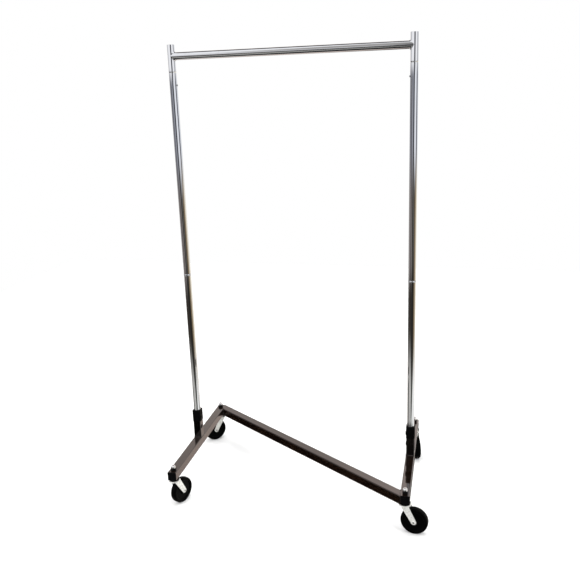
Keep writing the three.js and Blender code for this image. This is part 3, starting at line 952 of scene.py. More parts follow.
@dataclass
class Upright:
    """One side's socket with its collar and clamp screws, and the upright that stands in it."""

    side: Side
    socket_half: float = 16.0
    socket_wall: float = 1.4
    socket_corner: float = 2.5
    collar_half: float = 17.3
    collar_corner: float = 3.5
    collar_top: float = 5.0
    tube_radius: float = 14.3
    bore: float = 13.1
    spigot_radius: float = 12.9
    spigot_wall: float = 1.2
    bead_radius: float = 15.4
    bead_height: float = 6.4
    screw_radius: float = 4.0
    screw_length: float = 8.0
    screw_head: tuple[float, float] = (9.0, 2.6)

    def __post_init__(self) -> None:
        """Takes the upright's axis from the frame."""
        self.axis = middle(f"{self.side.word}_lower_upright")
        self.bits = [
            drill_bit(self.screw_radius + GAP, 0, 35).laid(Lie.X).turned(self.turn)
            .moved(self.axis[0], self.axis[1], float(middle(self.screw_node(level))[2]))
            for level in ("upper", "lower")
        ]

    @property
    def turn(self) -> float:
        """Turn of what faces +X on the left side."""
        return 0.0 if self.side is Side.LEFT else math.pi

    def screw_node(self, level: str) -> str:
        """The name of a clamp screw."""
        return f"{self.side.word}_{level}_clamp_screw"

    def placed(self, name: str, shell: Shell, wear: Wear, node: str) -> bpy.types.Object:
        """Shows a piece that was worked out about the upright's axis."""
        return show(name, shell.moved(self.axis[0], self.axis[1]), wear, node)

    def socket(self) -> None:
        """The square socket, with a weld round its foot."""
        node = f"{self.side.word}_socket"
        low, high = span(node)
        shell = square_tube(self.socket_half, self.socket_corner, self.socket_wall, low[2], high[2])
        drill(self.placed(f"{node}_tube", shell, Wear.BLACK_PAINT, node), self.bits)
        angles = np.linspace(0, 2 * math.pi, 240, endpoint=False)
        radius = square_radius(angles, self.socket_half - 0.3, self.socket_corner)
        path = np.stack([radius * np.cos(angles), radius * np.sin(angles), np.full(240, low[2])], -1)
        tangent = np.roll(path, -1, 0) - np.roll(path, 1, 0)
        tangent /= np.linalg.norm(tangent, axis=1, keepdims=True)
        up = np.broadcast_to(np.array([0, 0, 1.0]), path.shape)
        weld = bead(path, np.cross(tangent, up), up, 1.8, 2.4, 3.0).moved(self.axis[0], self.axis[1])
        show(f"{self.side.word}_socket_weld", weld, Wear.ENAMEL, body=BODY_OF[node])

    def collar(self) -> None:
        """The collar: a square skirt whose top closes in to a round hole.

        Its rings change from square to round across the top, and back inside the pocket.
        """
        node = f"{self.side.word}_collar"
        low, high = (float(corner[2]) for corner in span(node))
        hole = self.tube_radius + GAP
        pocket = self.socket_half + GAP
        angles = square_angles(self.collar_half, self.collar_corner)
        under = high - self.collar_top

        def ring(size: float, roundness: float) -> np.ndarray:
            """A ring between a rounded square and the circle of the same size."""
            square = square_radius(angles, size, min(self.collar_corner, size - 0.1))
            return square * (1 - roundness) + size * roundness

        skin = rounded([
            (pocket, low, 0.3), (self.collar_half, low, 0.5), (self.collar_half, high, 2.0),
            (hole, high, 0.7), (hole, under, 0.2), (pocket, under, 0.2),
        ], True, 6)
        levels = []
        for size, z in skin:
            inner = size <= hole + 0.9 and z > under - 0.3
            levels.append((ring(size, 1.0 if inner else 0.0), z))
        shell = Shell.loft(rings(angles, levels), closed=True)
        drill(self.placed(f"{node}_moulding", shell, Wear.MOULDING, node), self.bits[:1])

    def clamp_screws(self) -> None:
        """The clamp screws: a broad, nearly flat head with a hexagonal recess, on a plain shank."""
        radius, height = self.screw_head
        angles = even_angles(72)
        socket = hexagon_radius(angles, 5.0)
        arc = np.linspace(0, math.pi / 2, 9)
        head = [(radius - 1.6 + 1.6 * math.cos(t), height - 1.8 + 1.6 * math.sin(t)) for t in arc]
        levels = [
            (self.screw_radius - 0.6, -self.screw_length), (self.screw_radius, 0.6 - self.screw_length),
            (self.screw_radius, 0), (radius - 0.3, 0), (radius, 0.3), *head,
            (socket + 0.25, height), (socket, height - 0.25), (socket, height - 1.8),
            (socket * 0.3, height - 2.4),
        ]
        for level in ("upper", "lower"):
            node = self.screw_node(level)
            low, high = span(node)
            seat = low[0] + self.screw_length if self.side is Side.LEFT else high[0] - self.screw_length
            shell = Shell.loft(rings(angles, levels)).laid(Lie.X).turned(self.turn)
            place = middle(node)
            show(f"{node}_head", shell.moved(float(seat), place[1], place[2]), Wear.BLACK_PAINT, node)

    def tubes(self) -> None:
        """The two tubes of the upright and the coupling whose bead shows between them."""
        node = f"{self.side.word}_lower_upright"
        low, high = (float(corner[2]) for corner in span(node))
        heights = [float(middle(self.screw_node(level))[2]) for level in ("upper", "lower")]
        stops = [height + way for height in heights for way in (-7, 7)]
        shell = tube(self.tube_radius, self.bore, low, high, stops=stops)
        drill(self.placed(f"{node}_tube", shell, Wear.CHROME, node), self.bits)
        node = f"{self.side.word}_upper_upright"
        low, high = (float(corner[2]) for corner in span(node))
        button = float(middle(f"{self.side.word}_snap_button")[2])
        shell = tube(self.tube_radius, self.bore, low, high, 0.9, [button - 8, button + 8])
        bit = drill_bit(3.5, 0, 35).laid(Lie.X).turned(self.turn).moved(self.axis[0], self.axis[1], button)
        drill(self.placed(f"{node}_tube", shell, Wear.CHROME, node), [bit])
        node = f"{self.side.word}_coupling"
        low, high = (float(corner[2]) for corner in span(node))
        centre, half = (low + high) / 2, self.bead_height / 2
        spigot, proud = self.spigot_radius, self.bead_radius - self.tube_radius
        bore = spigot - self.spigot_wall
        bulge = [
            (self.tube_radius + proud * math.cos(t), centre + half * math.sin(t), 0.0)
            for t in np.linspace(-math.pi / 2, math.pi / 2, 17)
        ]
        shell = lathe([
            (bore, low, 0.3), (spigot, low, 0.5), (spigot, centre - half, 0), *bulge,
            (spigot, centre + half, 0), (spigot, high, 0.5), (bore, high, 0.3),
        ], closed=True, steps=2)
        self.placed(f"{node}_sleeve", shell, Wear.CHROME, node)

    def build(self) -> None:
        """Makes every piece of this side's socket and upright."""
        self.socket()
        self.collar()
        self.clamp_screws()
        self.tubes()
        log.info("%s upright: socket, collar, screws, tubes and coupling", self.side.word)


@dataclass
class Rail:
    """The hang rail, its two stubs with their inserts and snap buttons, and the welds between."""

    radius: float = 14.3
    bore: float = 13.1
    insert_radius: float = 12.9
    insert_wall: float = 1.2
    button_radius: float = 3.2
    weld_reach: float = 5.5
    scooped: float = 40.0
    swage: tuple[float, float] = (1.0, 3.8)

    def rail(self) -> None:
        """The rail: a tube whose ends are scooped to fit the stubs.

        At an angle t round the rail a point lies radius times cos t to the side, so the scoop is at
        the square root of the stub's radius squared less that distance squared.
        """
        centre = middle("hang_rail")
        axes = [float(middle(f"{side.word}_rail_stub")[0]) for side in Side]
        angles = even_angles(96)

        def ring(radius: float, sign: int, back: float) -> np.ndarray:
            """A ring at one end.

            Args:
                radius: The ring's radius.
                sign: -1 for the left end, 1 for the right.
                back: How far it is stepped back from the stub's axis. At 0 it follows the scoop.

            Returns:
                The ring's points.
            """
            y, z = radius * np.cos(angles), radius * np.sin(angles)
            scoop = np.sqrt((self.radius + GAP) ** 2 - y**2) * (1 if back == 0 else 0)
            axis = axes[0] if sign < 0 else axes[1]
            return np.stack([axis - sign * (scoop + back), y, z], -1)

        loops = np.stack([
            ring(self.bore, -1, 0), ring(self.radius, -1, 0), ring(self.radius, -1, self.scooped),
            ring(self.radius, 1, self.scooped), ring(self.radius, 1, 0), ring(self.bore, 1, 0),
        ])
        shell = Shell.loft(loops, closed=True).moved(y=centre[1], z=centre[2])
        show("hang_rail_tube", shell, Wear.RAIL_CHROME, "hang_rail")

    def weld(self, side: Side) -> None:
        """The plated fillet where the rail meets a stub, above and below.

        At an angle t round the rail, the corner point is on both surfaces. One end of the section is
        on the rail, w further along it, the other on the stub, w further up or down, and a quadratic
        curve bends between them towards the corner. w is the reach times sin t to the power 0.7.

        Args:
            side: The side of the rack.
        """
        axis = middle(f"{side.word}_rail_stub")
        height = float(middle("hang_rail")[2])
        t = np.linspace(0.02, math.pi - 0.02, 90)[:, None]
        bend = np.linspace(0, 1, 9)[None, :]
        shells = []
        for way in (1, -1):
            ripple = 1 + 0.05 * np.sin(26 * t)
            w = self.weld_reach * np.sin(t) ** 0.7 * ripple
            x0 = self.radius * np.sin(t)
            y0 = self.radius * np.cos(t)
            z0 = way * self.radius * np.sin(t)
            x = x0 + w * (1 - bend) ** 2
            z = z0 + way * w * bend**2
            y = np.broadcast_to(y0, x.shape)
            skin = np.stack([side.value * x, y, z], -1)
            root = np.stack([side.value * (x0 - 0.8), y0, z0 - way * 0.8], -1)
            shells.append(Shell.loft(np.concatenate([skin, root], 1)))
        shell = (shells[0] + shells[1]).moved(axis[0], axis[1], height)
        show(f"{side.word}_rail_weld", shell, Wear.CHROME, body=BODY_OF["hang_rail"])

    def stub(self, side: Side) -> None:
        """A stub with a rounded open top and a swaged foot, and the insert that plugs into the upright.

        Args:
            side: The side of the rack.
        """
        node = f"{side.word}_rail_stub"
        low, high = (float(corner[2]) for corner in span(node))
        axis = middle(node)
        depth, length = self.swage
        shell = lathe([
            (self.bore, low, 0), (self.radius - depth, low, 0.1), (self.radius, low + length, 0.6),
            (self.radius, high, 0.9), (self.bore, high, 0.9),
        ], closed=True)
        show(f"{node}_tube", shell.moved(axis[0], axis[1]), Wear.CHROME, node)
        node = f"{side.word}_stub_insert"
        low, high = (float(corner[2]) for corner in span(node))
        button = float(middle(f"{side.word}_snap_button")[2])
        inner = self.insert_radius - self.insert_wall
        shell = tube(self.insert_radius, inner, low, high, 0.3, [button - 8, button + 8])
        turn = 0.0 if side is Side.LEFT else math.pi
        bit = drill_bit(self.button_radius + GAP, 0, 35).laid(Lie.X).turned(turn)
        bit = bit.moved(axis[0], axis[1], button)
        drill(show(f"{node}_sleeve", shell.moved(axis[0], axis[1]), Wear.CHROME, node), [bit])

    def button(self, side: Side) -> None:
        """A snap button: a pin with a domed tip and a flange inside the insert.

        Args:
            side: The side of the rack.
        """
        node = f"{side.word}_snap_button"
        low, high = span(node)
        place = middle(node)
        length = float(high[0] - low[0])
        shell = lathe([
            (0, 0, 0), (4.2, 0, 0.2), (4.2, 1, 0.2), (self.button_radius, 1, 0),
            (self.button_radius, length, 2.4), (0, length, 0),
        ], steps=8, sides=40).laid(Lie.X)
        if side is Side.LEFT:
            shell = shell.moved(x=low[0])
        else:
            shell = shell.turned(math.pi).moved(x=high[0])
        show(f"{node}_pin", shell.moved(y=place[1], z=place[2]), Wear.SPRING, node)

    def spring(self, side: Side) -> None:
        """A button's leaf spring: a strip bent to a V along a rounded path, taken off its body and left where
        it was built.

        The section is carried along the path: half the thickness goes along the path's normal and half
        the width along Y, and the two are joined by rounded edges.

        Args:
            side: The side of the rack.
        """
        node = f"{side.word}_button_spring"
        axis = middle(f"{side.word}_rail_stub")
        height = float(middle(f"{side.word}_snap_button")[2])
        path = rounded(
            [(-10.4, 8, 0), (-10.4, -14, 6), (-9.4, -26, 2), (-7.6, -28.6, 1.6), (-5.4, -26.4, 2),
             (2.4, -14, 6), (8.3, -5, 2.5), (8.3, 5, 0)], False, 6,
        )
        tangent = np.gradient(path, axis=0)
        tangent /= np.linalg.norm(tangent, axis=1, keepdims=True)
        turns = even_angles(16)
        thick = 0.4 * np.sign(np.sin(turns)) * np.abs(np.sin(turns)) ** 0.3
        wide = 3.0 * np.sign(np.cos(turns)) * np.abs(np.cos(turns)) ** 0.3
        x = path[:, :1] - tangent[:, 1:] * thick
        z = path[:, 1:] + tangent[:, :1] * thick
        shell = Shell.loft(np.stack([side.value * x, np.broadcast_to(wide, x.shape), z], -1))
        strip = show(f"{node}_leaf", shell.moved(axis[0], axis[1], height), Wear.SPRING, node)
        strip.parent = None
        del strip["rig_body"]
        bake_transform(strip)

    def build(self) -> None:
        """Makes the rail and everything that is fixed to it."""
        self.rail()
        for side in Side:
            self.weld(side)
            self.stub(side)
            self.button(side)
            self.spring(side)
        log.info("rail: tube, stubs, inserts, buttons and welds")


@dataclass
class Caster:
    """One swivel caster, from the dome nut on the bar down to the wheel."""

    corner: Corner
    wheel_radius: float = 50.8
    wheel_half: float = 12.7
    trail: float = 35.0
    leg_inner: float = 14.6
    leg_thickness: float = 2.5
    leg_end: float = 9.8
    leg_top_half: float = 15.5
    crown_radius: float = 23.5
    axle_radius: float = 4.8
    bush_radius: float = 7.6
    stem_radius: float = 5.9
    fold_radius: float = 6.0

    def __post_init__(self) -> None:
        """Takes the stem's axis, the trail's heading and the crown's height from the frame."""
        name = self.corner.value
        self.stem = middle(f"{name}_caster_stem")
        axle = middle(f"{name}_axle")
        self.heading = math.atan2(axle[1] - self.stem[1], axle[0] - self.stem[0])
        self.crown_low = float(span(f"{name}_caster_stem")[0][2]) + 3.9
        self.crown_high = self.crown_low + 4.8

    def swivelled(self, piece: str, shell: Shell, wear: Wear, node: str) -> bpy.types.Object:
        """Shows a piece worked out about the stem with its trail along +X.

        Args:
            piece: The end of the piece's name.
            shell: Its surface.
            wear: Its finish.
            node: The end of its CAD node's name.

        Returns:
            The object.
        """
        name = self.corner.value
        placed = shell.turned(self.heading).moved(self.stem[0], self.stem[1])
        return show(f"{name}_{piece}", placed, wear, f"{name}_{node}")

    def leg_outline(self, count: int = 150) -> np.ndarray:
        """Outline of a fork leg laid flat, in the plane of the wheel.

        It is the part of a circle about the axle that lies between its tangents from the two upper
        corners, closed through those corners, and it is resampled at even distances.

        Args:
            count: Points round the outline.

        Returns:
            The points, as distance along the trail and height.
        """
        axle = np.array([self.trail, self.wheel_radius])
        top = self.crown_low - 5 + self.fold_radius * math.pi / 2
        corners = np.array([[-self.leg_top_half, top], [self.leg_top_half, top]])
        ways = corners - axle
        spread = np.arccos(self.leg_end / np.hypot(*ways.T)) * np.array([1, -1])
        touch = np.arctan2(ways[:, 1], ways[:, 0]) + spread
        arc = np.linspace(touch[0], touch[1] + 2 * math.pi, 60)
        circle = axle + self.leg_end * np.stack([np.cos(arc), np.sin(arc)], -1)
        path = np.concatenate([circle, corners[::-1], circle[:1]])
        along = np.concatenate([[0], np.cumsum(np.linalg.norm(np.diff(path, axis=0), axis=1))])
        even = np.linspace(0, along[-1], count, endpoint=False)
        return np.stack([np.interp(even, along, path[:, 0]), np.interp(even, along, path[:, 1])], -1)

    def leg(self, sign: int) -> Shell:
        """One leg: a plate between its outline and the axle's hole, folded in under the crown.

        Rings run from the hole out to the outline on one face, over the rounded edge, and back on the
        other. Above the fold line, height is bent into an arc that turns the plate towards the stem.

        Args:
            sign: 1 for the leg on +Y, -1 for the other.

        Returns:
            The shell.
        """
        outline = self.leg_outline()
        axle = np.array([self.trail, self.wheel_radius])
        tangent = np.roll(outline, -1, 0) - np.roll(outline, 1, 0)
        tangent /= np.linalg.norm(tangent, axis=1, keepdims=True)
        normal = np.stack([tangent[:, 1], -tangent[:, 0]], -1)
        away = outline - axle
        hole = axle + away / np.linalg.norm(away, axis=1, keepdims=True) * (self.axle_radius + GAP)
        half, edge = self.leg_thickness / 2, 0.5
        inset = outline - edge * normal * np.sign((normal * away).sum(1, keepdims=True))
        shares = 1 - (1 - np.linspace(0, 1, 26)) ** 1.6
        face = hole[None] * (1 - shares[:, None, None]) + inset[None] * shares[:, None, None]
        flat = np.concatenate([face, outline[None], outline[None], face[::-1]])
        offset = np.concatenate([np.full(26, half), [half - edge, edge - half], np.full(26, -half)])[:, None]
        offset = np.broadcast_to(offset, flat.shape[:2])
        fold = self.crown_low - 5
        turn = np.clip((flat[..., 1] - fold) / self.fold_radius, 0, math.pi / 2)
        height = np.minimum(flat[..., 1], fold) + (self.fold_radius + offset) * np.sin(turn)
        middle_plane = self.leg_inner + half - self.fold_radius * (1 - np.cos(turn))
        y = sign * (middle_plane + offset * np.cos(turn))
        return Shell.loft(np.stack([flat[..., 0], y, height], -1), closed=True)

    def fork(self) -> None:
        """The fork: a round dished crown over two folded legs."""
        low, high, hole = self.crown_low, self.crown_high, self.stem_radius + 0.4
        crown = lathe([
            (hole, low, 0), (self.crown_radius - 4, low, 0.6), (self.crown_radius - 2.4, low + 0.9, 1.0),
            (self.crown_radius, low + 1.2, 0.5), (self.crown_radius, low + 2.6, 1.0),
            (self.crown_radius - 2, high, 1.4), (18.2, high, 0.5), (16.8, high - 1.1, 0.8),
            (15.2, high - 1.1, 0.8), (13.8, high, 0.5), (hole, high, 0),
        ], closed=True, steps=5)
        self.swivelled("fork_pressing", crown + self.leg(1) + self.leg(-1), Wear.ZINC, "fork")

    def bearing(self) -> None:
        """The fixed race over the crown, with the groove that its balls run in, and the stem."""
        name = self.corner.value
        low, high = (float(corner[2]) for corner in span(f"{name}_swivel_race"))
        hole = self.stem_radius + 0.4
        race = lathe([
            (hole, low, 0), (13.6, low, 0.4), (15.0, low + 1.2, 0.8), (17.0, low + 1.2, 0.8),
            (18.5, low, 0.4), (19.6, low + 1.0, 0.8), (18.9, low + 2.6, 0.8), (20.0, high - 2.0, 0.8),
            (20.0, high, 0.5), (hole, high, 0),
        ], closed=True, steps=5)
        race = race.moved(self.stem[0], self.stem[1])
        # The race wears the near-black finish as painted shade, standing in for the bar's shadow over it.
        show(f"{name}_race_pressing", race, Wear.BLACK_STEEL, f"{name}_swivel_race")
        low, high = (float(corner[2]) for corner in span(f"{name}_caster_stem"))
        stem = lathe([
            (0, low, 0), (7.4, low, 0.8), (9, low + 1.6, 0.9), (9, low + 3.6, 0.2),
            (self.stem_radius, low + 3.6, 0), (self.stem_radius, high - 1, 0.3),
            (self.stem_radius - 1, high, 0.3), (0, high, 0),
        ])
        show(f"{name}_stem_rivet", stem.moved(self.stem[0], self.stem[1]), Wear.ZINC, f"{name}_caster_stem")

    def dome_nut(self) -> None:
        """The dome nut: a hexagon whose corners are chamfered by a cone at both ends, and a dome."""
        name = self.corner.value
        foot, top = (float(corner[2]) for corner in span(f"{name}_dome_nut"))
        across, hex_high, dome, neck, bore = 19.0, 10.0, 8.9, 13.0, self.stem_radius + GAP
        angles = even_angles(96)
        flats = hexagon_radius(angles, across)
        rise = np.array([0, 0.15, 0.3, 0.45, 0.6, 0.75, 0.9])
        lower = [(np.minimum(flats, across / 2 - 0.1 + h * 1.75), h) for h in rise]
        upper = [(np.minimum(flats, across / 2 - 0.1 + h * 1.75), hex_high - h) for h in rise[::-1]]
        arc = np.linspace(0, math.pi / 2 - 0.06, 14)
        cap = [(dome * math.cos(a), neck + (top - foot - neck) * math.sin(a)) for a in arc]
        dome_levels = [(0.05, 12), (bore, 11.9), (bore, 10.2), (dome, 10.2), *cap]
        hex_levels = [
            (bore, 10.1), (bore, 0.4), (bore + 0.4, 0), *lower, *upper, (dome + 0.2, hex_high), (dome, 10.1),
        ]
        place = (*self.stem[:2], foot)
        top_half = Shell.loft(rings(angles, dome_levels)).moved(*place)
        show(f"{name}_nut_dome", top_half, Wear.NICKEL, f"{name}_dome_nut")
        # The hexagon wears the near-black finish as painted shade and painted dark reflection on its upright
        # faces; the dome keeps the plate's own colour.
        hexagon = Shell.loft(rings(angles, hex_levels), closed=True).moved(*place)
        body = BODY_OF[f"{name}_dome_nut"]
        show(f"{name}_nut_hexagon", hexagon, Wear.BLACK_STEEL, body=body)

    def axle(self) -> None:
        """The axle: a rivet whose heads are rolled over a small dimple, a near-black disc in each dimple as
        painted shade, and the bush on it.
        """
        seat = self.leg_inner + self.leg_thickness + GAP
        tip = seat + 2.2
        end = [
            (0, tip - 1.2, 0), (3.1, tip - 1.2, 0.3), (3.3, tip, 0.4), (5.6, tip, 1.6),
            (7.2, seat + 0.2, 0.3), (7.2, seat, 0), (self.axle_radius, seat, 0),
        ]
        other = [(radius, -z, edge) for radius, z, edge in reversed(end)]
        rivet = lathe(end + other, steps=5).laid(Lie.Y)
        place = {"x": self.trail, "z": self.wheel_radius}
        self.swivelled("axle_rivet", rivet.moved(**place), Wear.ZINC, "axle")
        # Near-black discs sit in the rivet's dimples as painted shade of those hollows.
        disc = [(0, -0.5, 0), (3.0, -0.5, 0.1), (3.0, 0.3, 0.3), (0, 0.3, 0)]
        dimple_shades = lathe(disc).moved(z=tip - 0.6) + lathe(disc).moved(z=0.8 - tip)
        dimple_shade = dimple_shades.laid(Lie.Y).moved(**place).turned(self.heading).moved(self.stem[0], self.stem[1])
        name = self.corner.value
        made = show(f"{name}_axle_cores", dimple_shade, Wear.BLACK_STEEL, body=BODY_OF[f"{name}_axle"])
        reach = self.leg_inner - GAP
        bush = tube(self.bush_radius, self.axle_radius + GAP, -reach, reach, 0.3).laid(Lie.Y)
        self.swivelled("wheel_bush_sleeve", bush.moved(**place), Wear.ZINC, "wheel_bush")

    def wheel(self) -> None:
        """The wheel: a slightly crowned tread, rounded shoulders, a grooved sidewall and a dished web."""
        radius, half = self.wheel_radius, self.wheel_half
        bore, boss = self.bush_radius + GAP, self.wheel_half + 0.9
        near = [
            (bore, boss, 0.3), (12.4, boss, 0.8), (13.4, boss - 1.8, 0.8), (16.2, half - 3.5, 2.0),
            (22, half - 3.7, 1), (36.6, half - 3.5, 2.0), (40.4, half - 0.3, 1.4), (41.6, half, 0.5),
            (42.6, half - 0.7, 0.4), (43.6, half, 0.4), (radius - 2.6, half, 1.6),
            (radius - 0.25, half - 4.8, 3.0), (radius, 0.6, 1),
        ]
        far = [(r, -z, edge) for r, z, edge in reversed(near)]
        shell = lathe(near + far, closed=True, steps=5, sides=128).laid(Lie.Y)
        self.swivelled("wheel_tyre", shell.moved(x=self.trail, z=radius), Wear.RUBBER, "wheel")

    def build(self) -> None:
        """Makes every piece of the caster."""
        self.dome_nut()
        self.bearing()
        self.fork()
        self.axle()
        self.wheel()
        log.info("%s caster: nut, stem, race, fork, axle, bush and wheel", self.corner.value)


# ---- Studio ----


@dataclass
class Studio:
    """The pale floor, the soft lights, the room that the chrome reflects, and the camera."""

    camera_place: tuple[float, float, float] = (0.5963, -2.5287, 1.5817)
    yaw: float = math.radians(13.803)
    pitch: float = math.radians(14.34)
    roll: float = math.radians(-1.992)
    lens: float = 42.54
    shift: tuple[float, float] = (-0.0016, -0.0372)
    paper: tuple[float, float, float, float] = (-3.2, 3.2, -1.5, 3.6)

    def camera(self) -> None:
        """The camera: turned left by the yaw, down by the pitch, and rolled."""
        forward = np.array([
            -math.sin(self.yaw) * math.cos(self.pitch), math.cos(self.yaw) * math.cos(self.pitch),
            -math.sin(self.pitch),
        ])
        right = np.array([math.cos(self.yaw), math.sin(self.yaw), 0.0])
        up = np.cross(right, forward)
        across = math.cos(self.roll) * right + math.sin(self.roll) * up
        above = math.cos(self.roll) * up - math.sin(self.roll) * right
        data = bpy.data.cameras.new("camera")
        data.lens, data.sensor_width = self.lens, 36.0
        data.shift_x, data.shift_y = self.shift
        made = bpy.data.objects.new("camera", data)
        turn = Matrix(np.stack([across, above, -forward], -1).tolist()).to_4x4()
        made.matrix_world = Matrix.Translation(Vector(self.camera_place)) @ turn
        bpy.context.scene.collection.objects.link(made)
        bpy.context.scene.camera = made

    def floor(self) -> None:
        """A sheet of pale paper under the rack."""
        left, right, front, back = self.paper
        mesh = bpy.data.meshes.new("floor")
        corners = [(left, front, 0), (right, front, 0), (right, back, 0), (left, back, 0)]
        mesh.from_pydata(corners, [], [(0, 1, 2, 3)])
        material = bpy.data.materials.new("pale_paper")
        material.use_nodes = True
        recipe = Recipe(material.node_tree)
        fibre = recipe.noise(recipe.object_place(), 40.0, 4.0)
        recipe.surface({
            "Base Color": recipe.mixed(fibre, (0.90, 0.90, 0.895), (0.93, 0.93, 0.93)),
            "Roughness": 0.85,
            "Specular IOR Level": 0.1,
        })
        mesh.materials.append(material)
        made = bpy.data.objects.new("floor", mesh)
        made.visible_glossy = False
        bpy.context.scene.collection.objects.link(made)

    def light(
        self, name: str, place: Vector, target: Vector, size: tuple[float, float], power: float
    ) -> None:
        """A soft rectangular light.

        Args:
            name: Its name.
            place: Where it stands.
            target: What it points at.
            size: Its width and height.
            power: Its power in watts.
        """
        data = bpy.data.lights.new(name, "AREA")
        data.shape, data.size, data.size_y, data.energy = "RECTANGLE", size[0], size[1], power
        made = bpy.data.objects.new(name, data)
        made.visible_glossy = False
        turn = (target - place).to_track_quat("-Z", "Y").to_matrix().to_4x4()
        made.matrix_world = Matrix.Translation(place) @ turn
        bpy.context.scene.collection.objects.link(made)

    def upper_room(self, recipe: Recipe, heading: Value) -> Value:
        """What is seen level: grey curtains left, white ones right, and dark gaps between.

        Args:
            recipe: The world's tree.
            heading: Degrees from the front, positive to the right.

        Returns:
            The colour seen.
        """
        curtain = recipe.mixed(heading.between(20, 2), (0.86, 0.88, 0.93), (0.26, 0.27, 0.31))
        curtain = recipe.mixed(heading.band(-36, 8, 6), curtain, (0.36, 0.37, 0.41))
        curtain = recipe.mixed(heading.band(-86, 9, 6), curtain, (0.36, 0.36, 0.38))
        curtain = recipe.mixed(heading.between(-130, -150), curtain, (0.80, 0.80, 0.82))
        for centre, half, dark in ((7, 12, 0.03), (95, 17, 0.11), (-62, 11, 0.10), (-112, 13, 0.15)):
            curtain = recipe.mixed(heading.band(centre, half, 5), curtain, (dark, dark, dark * 1.15))
        return recipe.mixed(heading.maths("ABSOLUTE").between(160, 172), curtain, (0.50, 0.50, 0.50))

    def middle_room(self, recipe: Recipe, heading: Value, rise: Value) -> Value:
        """What is seen a little below level: dark in front, tan on the right, lit at the back.

        Args:
            recipe: The world's tree.
            heading: Degrees from the front, positive to the right.
            rise: Degrees above level.

        Returns:
            The colour seen.
        """
        grey = recipe.mixed(rise.between(-14, -17), (0.27, 0.245, 0.235), (0.05, 0.046, 0.040))
        low = recipe.mixed(heading.between(-22, -10), grey, (0.026, 0.024, 0.021))
        low = recipe.mixed(heading.band(22, 7, 6) * rise.between(-16, -13), low, (0.15, 0.14, 0.125))
        low = recipe.mixed(heading.band(-48, 6, 6), low, (0.030, 0.016, 0.012))
        low = recipe.mixed(heading.between(45, 65), low, (0.29, 0.22, 0.135))
        low = recipe.mixed(heading.between(80, 130), low, (0.98, 0.90, 0.76))
        return recipe.mixed(heading.between(-110, -165), low, (0.55, 0.54, 0.52))

    def foot_room(self, recipe: Recipe, heading: Value, rise: Value) -> Value:
        """What is seen well below level: pale ground with a dark wedge, strip and mat.

        Args:
            recipe: The world's tree.
            heading: Degrees from the front, positive to the right.
            rise: Degrees above level.

        Returns:
            The colour seen.
        """
        ground = recipe.mixed(heading.between(-30, 60), (0.60, 0.59, 0.56), (1.0, 1.0, 0.97))
        ground = recipe.mixed(heading.maths("ABSOLUTE").between(130, 148), ground, (0.72, 0.60, 0.54))
        spread = (rise + 28).maths("MAXIMUM", 0.0) * 6.0
        wedge = ((heading - 24).maths("ABSOLUTE") - spread).between(8, -6) * rise.between(-27.5, -26)
        wedge = wedge * (1 - heading.between(6, -4) * rise.between(-22.8, -23.8))
        ground = recipe.mixed(heading.maths("ABSOLUTE").between(164, 170), ground, (0.03, 0.026, 0.022))
        ground = recipe.mixed(wedge, ground, (0.045, 0.045, 0.040))
        raised = heading.band(-22.7, 2, 2) * 3.9 + heading.band(-3.4, 2, 2) * 2.2
        raised = raised + heading.band(-84, 13, 6) * 3.6
        strip = (rise - raised).between(-26.7, -27.5) * rise.between(-38, -35) * heading.between(95, 60)
        ground = recipe.mixed(strip, ground, (0.006, 0.005, 0.004))
        edge = -50 + heading.between(-30, 0) * 8
        mat = (rise - edge).between(2, -2) * heading.maths("ABSOLUTE").between(125, 95)
        return recipe.mixed(mat, ground, (0.02, 0.02, 0.021))

    def ceiling(self, recipe: Recipe, heading: Value, rise: Value) -> Value:
        """What is seen above level: white, with the gaps' tops, a grey patch ahead and a dark beam.

        Args:
            recipe: The world's tree.
            heading: Degrees from the front, positive to the right.
            rise: Degrees above level.

        Returns:
            The colour seen.
        """
        line = heading.band(13, 15, 5) + heading.band(106, 19, 8) * 0.55 + heading.band(-99, 19, 8) * 0.42
        line = line * rise.between(45, 25)
        behind = heading.maths("ABSOLUTE").between(110, 145)
        white = recipe.mixed(rise.between(8, 35) * behind, (1.0, 1.0, 1.02), (1.42, 1.26, 1.20))
        back = heading.band(-152, 14, 12) * rise.between(60, 40)
        white = recipe.mixed(back, white, (0.80, 0.72, 0.68))
        ahead = heading.band(0, 14, 12) * rise.between(5, 14) * rise.between(80, 60)
        white = recipe.mixed(ahead, white, (0.40, 0.39, 0.38))
        beam = heading.maths("ABSOLUTE").between(86, 100) * rise.between(38, 43)
        white = recipe.mixed(beam, white, (0.03, 0.03, 0.03))
        return recipe.mixed(line, white, (0.07, 0.07, 0.08))

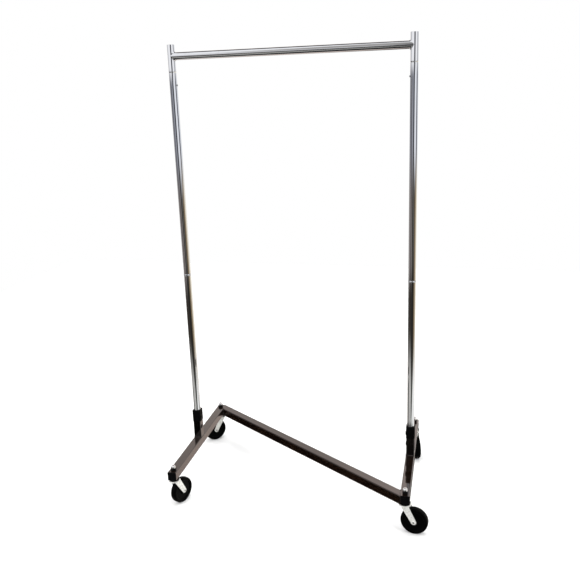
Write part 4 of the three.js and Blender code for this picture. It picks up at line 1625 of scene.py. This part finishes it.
    def room(self) -> None:
        """The room that the plate and the gloss reflect, by direction; all else sees white."""
        world = bpy.data.worlds.new("room")
        bpy.context.scene.world = world
        world.use_nodes = True
        recipe = Recipe(world.node_tree)
        way = recipe.node("ShaderNodeTexCoord", {}, {}, "Generated")
        x, y, z = (recipe.axis(way, name) for name in "XYZ")
        heading = x.maths("ARCTAN2", y * -1.0).maths("DEGREES")
        rise = z.maths("ARCSINE").maths("DEGREES")
        upper = self.upper_room(recipe, heading)
        middle_room = self.middle_room(recipe, heading, rise)
        seen = recipe.mixed(rise.between(-4, -9), upper, middle_room)
        seen = recipe.mixed(rise.between(-19, -25), seen, self.foot_room(recipe, heading, rise))
        seen = recipe.mixed(rise.between(0.8, 2.4), seen, self.ceiling(recipe, heading, rise))
        folds = recipe.node("ShaderNodeVectorMath", {"operation": "MULTIPLY"}, {0: way, 1: (7, 7, 1)})
        cloth = recipe.noise(folds, 1.0)
        shade = 0.84 + cloth * 0.32
        seen = recipe.node("ShaderNodeVectorMath", {"operation": "SCALE"}, {0: seen, "Scale": shade})
        reflected = recipe.node("ShaderNodeBackground", {}, {"Color": seen, "Strength": 1.0})
        plain = recipe.node("ShaderNodeBackground", {}, {"Color": (1.0, 1.0, 1.0, 1.0), "Strength": 1.0})
        glossy_ray = recipe.node("ShaderNodeLightPath", {}, {}, "Is Glossy Ray")
        both = recipe.node("ShaderNodeMixShader", {}, {0: glossy_ray, 1: plain, 2: reflected})
        recipe.node("ShaderNodeOutputWorld", {}, {"Surface": both})

    def build(self) -> None:
        """Makes the studio."""
        self.camera()
        self.floor()
        self.room()
        aim = Vector((0, 0, 0.8))
        self.light("left_softbox", Vector((-2.6, -2.2, 2.6)), aim, (1.4, 1.8), 60)
        self.light("right_softbox", Vector((3.0, -1.6, 2.4)), aim, (1.2, 1.8), 40)
        self.light("overhead_softbox", Vector((0.2, 0.6, 3.6)), aim, (2.4, 2.0), 60)
        view = bpy.context.scene.view_settings
        view.view_transform = "Standard"
        view.look = "None"
        log.info("studio: floor, room, lights and camera")


def main() -> None:
    """Builds the studio, then the rack's finished pieces in order."""
    logging.basicConfig(level=logging.INFO, format="%(name)s: %(message)s")
    Studio().build()
    Base().build()
    for side in Side:
        Upright(side).build()
    Rail().build()
    for corner in Corner:
        Caster(corner).build()


if __name__ == "__main__":
    main()
